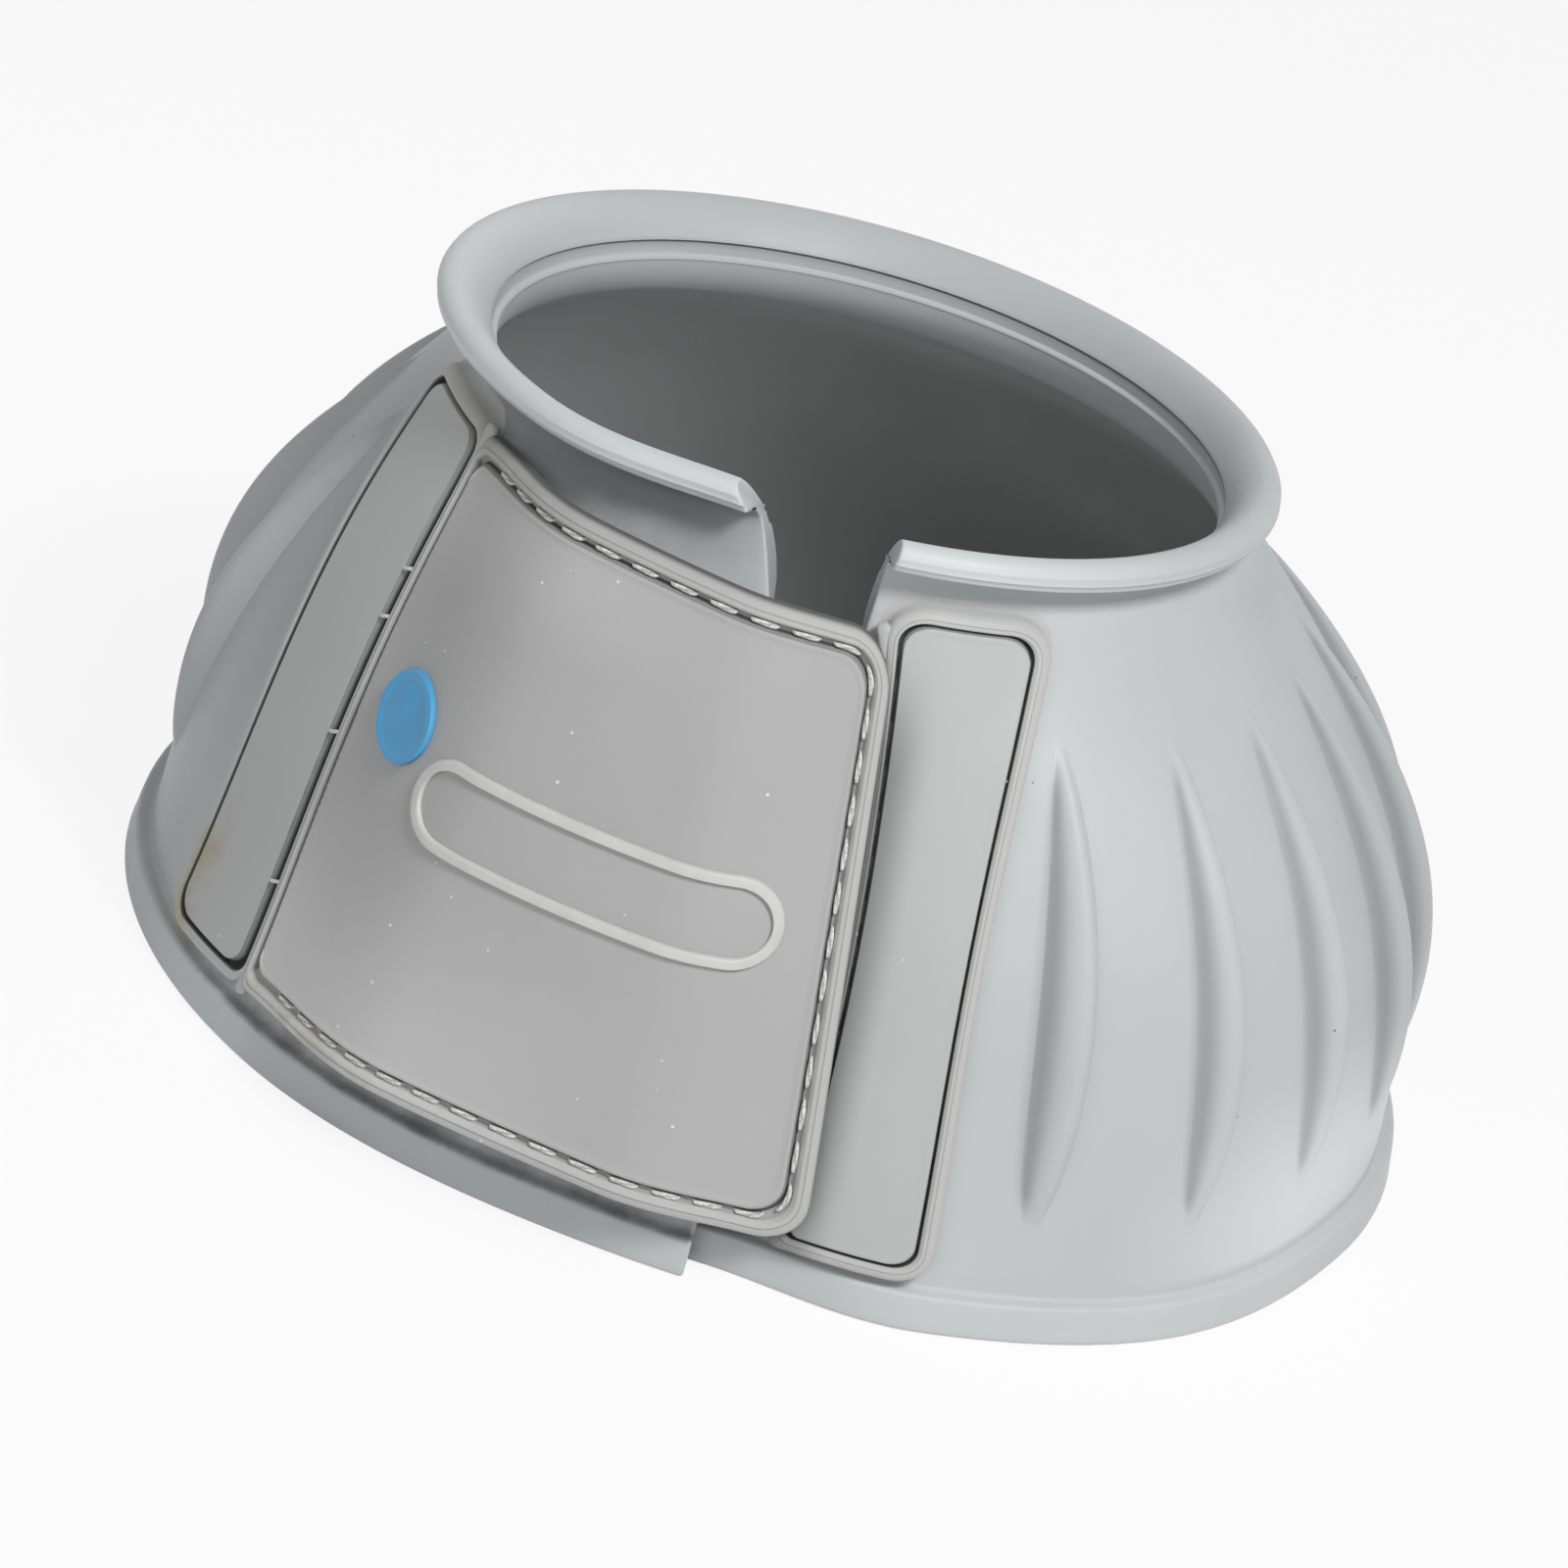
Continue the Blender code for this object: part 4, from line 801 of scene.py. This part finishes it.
# Stains, dirt, painted shade and painted light on the sheets: each has its strength, and its spans in shares across
# and up
sheetSpots = {
    "corner": (1.5, ((0.50, 0.10),), ((0.26, 0.12),)), "top": (0.25, (), ((0.93, 0.98),)),
    "beside": (0.55, ((0.40, 0.08),), ((0.95, 0.75),)), "dirt": (0.16, ((0.9, 0.3),), ((0.94, 0.98),)),
    "lipLow": (0.5, ((0.45, 0.15),), ((0.06, 0.02),)), "lipHigh": (0.5, ((0.45, 0.15),), ((0.94, 0.98),)),
    "fold": (0.75, (), ((0.03, 0.05), (0.97, 0.95))), "low": (0.8, ((0.85, 0.05),), ((0.45, 0.05),)),
    "high": (0.22, ((0.75, 0.45),), ((0.76, 0.92),)),
}
foldPeak = (0.0115, 0.0035)


# These spots are stains, dirt, painted shade and painted light
def worn(across, up, *names):  # the named spots of the sheets
    return [patch(sheetSpots[name], across, up) for name in names]


def outerStripSpots(across, up):  # a faint yellowish patch at the lower left corner and the upper edge
    return {"stain": sum(worn(across, up, "corner", "top"))}


def innerStripSpots(across, up):  # painted shade beside the outer flap's edge
    return {"shadeAndDirt": sum(worn(across, up, "beside"))}


def outerFlapSpots(across, up):
    # The lip is yellowed along its left half and dirty at the top, with painted shade along the fold;
    # the field has painted light low down and at the upper left
    dirt, fold = worn(across, up, "dirt", "fold")
    return {
        "stain": np.maximum(*worn(across, up, "lipLow", "lipHigh")), "paintedLight": sum(worn(across, up, "low", "high")),
        "shadeAndDirt": np.maximum(dirt, fold * peak(across, *foldPeak)),
    }


makeSheet("outerStrip", outerStrip, stripRubber, "boot", "strip_rubber", "outer_flap_strip", outerStripSpots)
makeSheet("innerStrip", innerStrip, stripRubber, "boot", "strip_rubber", "inner_flap_strip", innerStripSpots)
makeSheet("innerFlap", innerPanel, flapRubber, "inner_flap", "flap_rubber", "inner_flap_panel")
makeSheet("outerFlap", outerPanel, flapRubber, "outer_flap", "flap_rubber", "outer_flap_panel", outerFlapSpots)


def makeTubes(name, centres, sides, ups, radii, material, marks=None):
    # Many closed tubes at once: a ring of points round each centre
    count, length, ring = radii.shape
    turns = roundTurns(ring)[:, None]
    reach = np.cos(turns) * sides[:, :, None] + np.sin(turns) * ups[:, :, None]
    points = centres[:, :, None] + radii[..., None] * reach
    starts = (np.arange(count) * length * ring)[:, None]
    faces = (gridFaces(length, ring, closeColumns=True)[None] + starts[:, None]).reshape(-1, 4).tolist()
    faces += (starts + np.arange(ring)[::-1]).tolist()
    faces += (starts + (length - 1) * ring + np.arange(ring)).tolist()
    return makeObject(name, points, faces, material, marks, smooth=70.0)


# Each thread is its thickness and how far its middle lies over the groove's floor. The strips' thread (worn)
# lies just under the floor and is drawn dark, as painted shade in their narrow grooves
stitch = {
    "pitch": 0.0053, "cover": 0.76, "dive": 8.0, "sink": 0.0006, "rings": 19, "sides": 10, "aside": 0.42,
    "probe": 0.001, "buried": 0.06, "twist": 1.1, "plyDepth": 0.13, "valleyShade": 0.6, "valleySpan": (-0.5, -1.0),
    "tipPower": 6, "tipFull": 1.02, "tipLeast": 0.05,
    "worn": (0.00028, -0.00012), "inner": (0.00046, 0.0001), "outer": (0.00062, 0.00030),
}


def makeSeam(name, sheet, material, body, node, thread):
    # Lock stitches along the middle of the groove: each dives into the rubber at both ends, its two plies twisted
    thick, proud = stitch[thread]
    inset = sheet["border"] + stitch["aside"] * sheet["grooveWidth"]
    shares = sheetOutline(sheet, *sheetSize(sheet), inset)
    across, up = np.concatenate((shares, shares[:1])).T
    floor = sheet["thickness"] - sheet["grooveDepth"]
    line = sheetPoint(sheet, across, up, floor)
    lifted = sheetPoint(sheet, across, up, floor + stitch["probe"])
    run = np.concatenate(([0.0], np.cumsum(lineSteps(line))))
    count = int(round(run[-1] / stitch["pitch"]))
    along = np.linspace(-0.5, 0.5, stitch["rings"])
    places = run[-1] / count * (np.arange(count)[:, None] + 0.5 + stitch["cover"] * along[None])
    # Along the fold the thread lies buried
    middle = np.interp(places[:, stitch["rings"] // 2], run, across)
    fromFold = middle if sheet["foldSide"] == "left" else 1.0 - middle
    places = places[fromFold >= stitch["buried"]]

    def read(values):
        return np.stack([np.interp(places, run, values[:, axis]) for axis in range(3)], axis=-1)

    centres, ups = read(line), unit(read(lifted - line))
    sides = unit(np.cross(np.gradient(centres, axis=1), ups))
    arch = 1.0 - np.abs(2.0 * along) ** stitch["dive"]
    centres = centres + ups * (proud + 0.5 * thick * arch - stitch["sink"] * (1.0 - arch))[None, :, None]
    twist = np.cos(2.0 * (roundTurns(stitch["sides"])[None, :] - stitch["twist"] * math.pi * along[:, None]))
    tips = stitch["tipFull"] - np.abs(2.0 * along[:, None]) ** stitch["tipPower"]
    tips = np.sqrt(np.clip(tips, stitch["tipLeast"], 1.0))
    radii = 0.5 * thick * (1.0 + stitch["plyDepth"] * twist) * tips
    # Painted shade in the valleys between the twisted plies
    valleyShade = stitch["valleyShade"] * ramp(twist, *stitch["valleySpan"])
    radii, valleyShade = [np.broadcast_to(values, (len(places), *values.shape)) for values in (radii, valleyShade)]
    piece = makeTubes(name, centres, sides, ups, radii, material, {"plyValleyShade": valleyShade})
    settle(piece, body, "seam_thread", node)


makeSeam("outerStripSeam", outerStrip, shadeDarkThread, "boot", "outer_strip_thread", "worn")
makeSeam("innerStripSeam", innerStrip, shadeDarkThread, "boot", "inner_strip_thread", "worn")
makeSeam("innerFlapSeam", innerPanel, threadFibre, "inner_flap", "inner_flap_thread", "inner")
makeSeam("outerFlapSeam", outerPanel, threadFibre, "outer_flap", "outer_flap_thread", "outer")

# The moulded web over each fold
web = {
    "outerUp": (0.0068, 0.0789), "innerUp": (0.0084, 0.0770), "halfWidth": 0.00066, "endSpread": 0.0005,
    "endReach": 0.0030, "round": 0.0010, "leastCap": 0.01, "sink": 0.0006, "proud": 0.00182, "fullness": 0.7,
    "rows": 120, "sides": 20, "bend": 0.0006,
}


def makeWeb(name, fold, span, lift, side):
    # A flattened half round bar along the fold, wider and rounded at its ends
    low, high = span
    height = low + (high - low) * (0.5 - 0.5 * np.cos(np.linspace(0.0, math.pi, web["rows"])))[:, None]
    toEnd = np.minimum(height - low, high - height)
    half = web["halfWidth"] + web["endSpread"] * (1.0 - ease(toEnd / web["endReach"]))
    cap = np.sqrt(1.0 - (1.0 - np.clip(toEnd / web["round"], web["leastCap"], 1.0)) ** 2)
    turns = roundTurns(web["sides"])
    azimuth = turnBy(foldLine(fold, height), height, half * cap * np.cos(turns))
    bulge = np.sign(np.sin(turns)) * np.abs(np.sin(turns)) ** web["fullness"] * (0.5 + 0.5 * cap)
    rise = 0.5 * (web["proud"] + web["sink"]) + 0.5 * (web["proud"] - web["sink"]) * bulge
    height = height + 0.0 * azimuth
    points = overWall(azimuth, height, lift(azimuth, height) + rise)
    piece = makeObject(name, points, cappedFaces(web["rows"], web["sides"]), stripRubber, smooth=60.0)
    # A normal to the plane that fits the fold's line best, turned from the boot's side to the flap's and scaled by the
    # bend;
    # nothing uses it
    line = points.mean(axis=1)
    centre = line.mean(axis=0)
    normal = np.linalg.svd(line - centre)[2][2]
    middle = points[web["rows"] // 2]
    normal = normal * np.sign(normal @ (middle[0] - middle[web["sides"] // 2])) * side * web["bend"]
    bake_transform(piece)
    print(name, "made:", len(piece.data.polygons), "faces")


makeWeb("outerFoldWeb", "outerFold", web["outerUp"], levelLift, 1.0)
makeWeb("innerFoldWeb", "innerFold", web["innerUp"], tuckedLift, -1.0)

# Ends of thread that show in the outer fold's groove
threadEnds = {
    "heights": (0.0212, 0.0405, 0.0548, 0.0606), "place": 0.0014, "reach": 0.0010, "slant": 0.4, "thick": 0.0005,
    "foot": 0.0003, "arch": 0.0004, "steps": 9,
}


def makeThreadEnds():
    # Short arched tubes across the groove on the strip's side of the outer fold
    e = threadEnds
    share = np.linspace(-1.0, 1.0, e["steps"])[None, :]
    height = np.array(e["heights"])[:, None] + e["slant"] * e["reach"] * share
    azimuth = turnBy(foldLine("outerFold", height), height, e["reach"] * share - e["place"])
    rise = outerStrip["thickness"] - e["foot"] + e["arch"] * (1.0 - share * share)
    centres = overWall(azimuth, height, closure["seatGap"] + rise)
    ups = unit(overWall(azimuth, height, stitch["probe"] + rise) - overWall(azimuth, height, rise))
    sides = unit(np.cross(np.gradient(centres, axis=1), ups))
    radii = np.full((*height.shape, stitch["sides"]), 0.5 * e["thick"])
    settle(makeTubes("threadEnds", centres, sides, ups, radii, threadFibre), "boot", "seam_thread")


makeThreadEnds()

# Hook pads and loop pads. Each kind's tape has two faces at heights over its carrier, and stands its tubes on the
# base face, facing inwards (-1) or outwards (1). A path is steps aside and outwards, a ring its tube's sides
pads = {
    "low": 0.0165, "high": 0.0665, "left": -24.0, "rightMargin": 8.5, "edge": 0.0009, "upMargin": 0.02,
    "jitter": 0.1, "sizes": (0.85, 1.1), "columns": 31, "rows": 37, "tiny": 1e-7,
}
hooks = {
    "suffix": "Hooks", "slot": "hook_tape", "material": hookPlastic, "seed": 5, "pitch": 0.0013, "thick": 0.00022,
    "ring": 5, "facing": -1.0, "faces": (-0.00075, -0.00004), "base": 0, "anyHeading": False,
    "path": ((0.0, 0.0), (0.0, 0.00018), (0.00006, 0.00030), (0.00020, 0.00034), (0.00032, 0.00026)),
}
loops = {
    "suffix": "Loops", "slot": "loop_pile", "material": loopFibre, "seed": 9, "pitch": 0.0011, "thick": 0.00012,
    "ring": 3, "facing": 1.0, "faces": (0.00004, 0.00052), "base": 1, "anyHeading": True,
    "path": (
        (-0.00032, 0.0), (-0.00036, 0.00016), (-0.00012, 0.00028),
        (0.00014, 0.00027), (0.00036, 0.00015), (0.00030, 0.0),
    ),
}


def padPlace(across, up):  # shares mapped between the pad's edges, as azimuth and height
    height = pads["low"] + (pads["high"] - pads["low"]) * up
    right = splitEnd("leftEnd", height) - pads["rightMargin"]
    return pads["left"] + (right - pads["left"]) * across, height


def makeBacking(name, carrier, kind, body, node):
    # A thin tape: a grid of shares, doubled into a lower and an upper face with a closed edge
    rows, columns = pads["columns"], pads["rows"]
    across, up = np.meshgrid(np.linspace(0.0, 1.0, rows), np.linspace(0.0, 1.0, columns), indexing="ij")
    azimuth, height = padPlace(across, up)
    points = np.stack([overWall(azimuth, height, carrier(azimuth, height) + face) for face in kind["faces"]])
    loop = np.concatenate((
        np.arange(columns), np.arange(1, rows) * columns + columns - 1,
        (rows - 1) * columns + np.arange(columns - 2, -1, -1), np.arange(rows - 2, 0, -1) * columns,
    ))
    quads, offset, following = gridFaces(rows, columns), rows * columns, np.roll(loop, -1)
    rim = np.stack((loop, following, following + offset, loop + offset), axis=1)
    quads = np.concatenate((quads, quads[:, ::-1] + offset, rim))
    settle(makeObject(name, points, quads, kind["material"]), body, kind["slot"], node)


def padGrid(pitch, seed):  # evenly spaced places on a pad, each a little off its place
    azimuth, height = padPlace(np.array((0.0, 1.0)), np.array((0.5, 0.5)))
    wide = np.radians(azimuth[1] - azimuth[0]) * wallRadius(azimuth[0], height[0])
    tall = pads["high"] - pads["low"]
    columns, rows = [int((length - pads["edge"]) / pitch) for length in (wide, tall)]
    random = np.random.default_rng(seed)
    across, up = np.meshgrid((np.arange(columns) + 0.5) / columns, (np.arange(rows) + 0.5) / rows, indexing="ij")
    margin, jitter = pads["edge"] / wide, pads["jitter"]
    across = margin + (1.0 - 2.0 * margin) * across.ravel() + random.uniform(-jitter, jitter, across.size) / columns
    margin = pads["upMargin"]
    up = margin + (1.0 - 2.0 * margin) * up.ravel() + random.uniform(-jitter, jitter, up.size) / rows
    return *padPlace(across, up), random


def makeBristles(name, carrier, kind, body):
    # Small bent tubes on a pad: a path of sideways and outward steps, placed by azimuth, height and lift
    azimuth, height, random = padGrid(kind["pitch"], kind["seed"])
    if kind["anyHeading"]:
        heading = random.uniform(0.0, 2.0 * math.pi, len(azimuth))[:, None]
    else:
        heading = (np.arange(len(azimuth)) % 2 * math.pi)[:, None]
    aside, out = np.array(kind["path"]).T[:, None]
    size = random.uniform(*pads["sizes"], len(azimuth))[:, None]
    turned = azimuth[:, None] + np.degrees(size * aside * np.cos(heading) / bell["hemRadius"])
    raised = height[:, None] + size * aside * np.sin(heading)
    base = carrier(azimuth[:, None], height[:, None]) + kind["faces"][kind["base"]]
    centres = overWall(turned, raised, base + kind["facing"] * out)
    tangents = unit(np.gradient(centres, axis=1))
    outward = overWall(turned, raised, base + stitch["probe"]) - overWall(turned, raised, base)
    level = unit(np.cross(tangents, outward) + np.array((0.0, 0.0, pads["tiny"])))
    radii = np.full((*centres.shape[:2], kind["ring"]), 0.5 * kind["thick"])
    piece = makeTubes(name + kind["suffix"], centres, level, np.cross(tangents, level), radii, kind["material"])
    settle(piece, body, kind["slot"])


def bareWall(azimuth, height):
    return 0.0 * azimuth


def overInner(azimuth, height):  # the inner flap's outer face
    return innerLift(azimuth, height) + closure["innerThickness"]


for name, body, node, carrier, kind in (
    ("innerHookTape", "inner_flap", "inner_flap_hook_pad", innerLift, hooks),
    ("outerHookTape", "outer_flap", "outer_flap_hook_pad", outerLift, hooks),
    ("shellLoopTape", "boot", "shell_loop_pad", bareWall, loops),
    ("innerLoopTape", "inner_flap", "inner_flap_loop_pad", overInner, loops),
):
    makeBacking(name, carrier, kind, body, node)
    makeBristles(name, carrier, kind, body)

# Blank badge on the outer flap. Profiles are shares of the radius or half the stroke, and of the rise
badge = {
    "azimuth": -15.9, "height": 0.0442, "length": 0.0440, "width": 0.0100, "stroke": 0.0013, "rise": 0.0007,
    "gap": 0.0016, "discHeight": 0.0490, "discRadius": 0.0056, "discRise": 0.0010, "steepness": 0.92,
    "discSteps": 72, "capSteps": 25, "runSteps": 37,
    "discOut": (0.0, 0.3, 0.55, 0.72, 0.78, 0.82, 0.86, 0.9, 0.95, 0.985, 1.0, 1.0, 0.985, 0.7, 0.0),
    "discUp": (0.72, 0.72, 0.73, 0.74, 0.76, 0.86, 0.95, 1.0, 1.0, 0.93, 0.80, 0.05, 0.02, 0.02, 0.02),
    "barOut": (-1.0, -1.0, -0.86, -0.5, 0.0, 0.5, 0.86, 1.0, 1.0),
    "barUp": (0.03, 0.72, 0.95, 1.0, 1.0, 1.0, 0.95, 0.72, 0.03),
}


def onFlap(azimuth, height, aside, upward, lift):
    # A point on the outer flap's face, by steps along it from a middle place
    turned = turnBy(azimuth, height, aside)
    raised = height + upward * badge["steepness"]
    return overWall(turned, raised, outerLift(turned, raised) + closure["outerThickness"] + lift)


def makeDisc():
    # A turned profile: foot, rounded raised rim and a slightly hollow face
    turns = roundTurns(badge["discSteps"])[:, None]
    radius, lift = badge["discRadius"] * np.array(badge["discOut"]), badge["discRise"] * np.array(badge["discUp"])
    toDisc = 0.5 * badge["length"] + badge["gap"] + badge["discRadius"]
    azimuth = turnBy(badge["azimuth"], badge["height"], -toDisc)
    points = onFlap(azimuth, badge["discHeight"], radius * np.cos(turns), radius * np.sin(turns), lift)
    faces = gridFaces(badge["discSteps"], len(radius), closeRows=True)
    piece = makeObject("badgeDisc", points, faces, discPaint, merge=0.000002, smooth=50.0)
    settle(piece, "outer_flap", "badge_blue", "badge_disc")


def makePlate():
    # A stadium outline whose section is a rounded bar: each ring is the stadium at its own offset
    straight = 0.5 * (badge["length"] - badge["width"])
    cap = np.linspace(-0.5 * math.pi, 0.5 * math.pi, badge["capSteps"])
    run = np.linspace(straight, -straight, badge["runSteps"])[1:-1]
    up, down = np.full_like(run, 0.5 * math.pi), np.full_like(run, 1.5 * math.pi)
    turns = np.concatenate((cap, up, cap + math.pi, down))
    centre = np.concatenate((np.full_like(cap, straight), run, np.full_like(cap, -straight), -run))
    radius = 0.5 * badge["width"] + 0.5 * badge["stroke"] * np.array(badge["barOut"])
    aside = centre[:, None] + radius * np.cos(turns)[:, None]
    upward = radius * np.sin(turns)[:, None]
    points = onFlap(badge["azimuth"], badge["height"], aside, upward, badge["rise"] * np.array(badge["barUp"]))
    faces = gridFaces(len(turns), len(radius), closeRows=True, closeColumns=True)
    piece = makeObject("badgePlate", points, faces, platePaint, smooth=50.0)
    settle(piece, "outer_flap", "badge_pale", "badge_frame")


makeDisc()
makePlate()

# Camera, floor and light
view = {
    "place": (0.0, -0.7790325, 0.38271185), "aim": (-0.00464201, -0.00510658, 0.03126183), "roll": 16.165,
    "lens": 150.77, "sensor": 36.0, "near": 0.01,
}
studio = {
    "world": 0.23, "floorSize": 6.0, "floorWhite": 0.88, "floorDrop": 0.0001, "floorColour": (0.9, 0.9, 0.9),
    "floorRoughness": 0.9, "lampAim": (0.0, 0.0, 0.04),
    "keyLamp": (8.2, (0.47, -0.56, 0.98), 0.35), "fillLamp": (1.5, (-0.38, -0.88, 0.50), 0.6),
}
white = (1.0, 1.0, 1.0, 1.0)


def aimed(name, data, spot, aim, roll=0.0):  # an object at a spot, looking at its aim and rolled about that line
    thing = bpy.data.objects.new(name, data)
    bpy.context.scene.collection.objects.link(thing)
    thing.location = spot
    thing.rotation_mode = "QUATERNION"
    turn = (Vector(aim) - Vector(spot)).to_track_quat("-Z", "Y")
    thing.rotation_quaternion = turn @ Quaternion((0.0, 0.0, 1.0), math.radians(roll))
    return thing


def makeCamera():
    data = bpy.data.cameras.new("camera")
    data.sensor_width, data.lens, data.clip_start = view["sensor"], view["lens"], view["near"]
    bpy.context.scene.camera = aimed("camera", data, view["place"], view["aim"], view["roll"])


def makeLamp(name):
    data = bpy.data.lights.new(name, "AREA")
    data.energy, spot, data.size = studio[name]
    aimed(name, data, spot, studio["lampAim"])


def whiteOver(nodes, plain, kind, share, output):
    # White light of a kind, mixed over the plain shader for camera, glossy and transmission rays
    path = nodes.add("LightPath").outputs
    rays = path["Is Camera Ray"]
    for name in ("Is Glossy Ray", "Is Transmission Ray"):
        rays = nodes.math("MAXIMUM", rays, path[name])
    share = nodes.math("MULTIPLY", rays, share)
    glow = nodes.add(kind, {"Color": white, "Strength": 1.0}).outputs[0]
    mix = nodes.add("MixShader", {0: share, 1: nodes.tree.nodes[plain].outputs[0], 2: glow})
    nodes.give(output, {"Surface": mix.outputs[0]})


def makeStage():
    half, drop = 0.5 * studio["floorSize"], -studio["floorDrop"]
    corners = [(-half, -half, drop), (half, -half, drop), (half, half, drop), (-half, half, drop)]
    mesh = bpy.data.meshes.new("floor")
    mesh.from_pydata(corners, [], [(0, 1, 2, 3)])
    floor = bpy.data.objects.new("floor", mesh)
    bpy.context.scene.collection.objects.link(floor)
    paper = Nodes(bpy.data.materials.new("floorPaper"))
    paper.give("Principled BSDF", {"Base Color": rgba(studio["floorColour"]), "Roughness": studio["floorRoughness"]})
    whiteOver(paper, "Principled BSDF", "Emission", studio["floorWhite"], "Material Output")
    mesh.materials.append(paper.owner)
    world = bpy.data.worlds.new("studio")
    bpy.context.scene.world = world
    sky = Nodes(world)
    sky.give("Background", {"Color": white, "Strength": studio["world"]})
    whiteOver(sky, "Background", "Background", 1.0, "World Output")


makeCamera()
makeStage()
makeLamp("keyLamp")
makeLamp("fillLamp")
bpy.context.scene.view_settings.view_transform = "Standard"
print("camera, floor and lamps made")
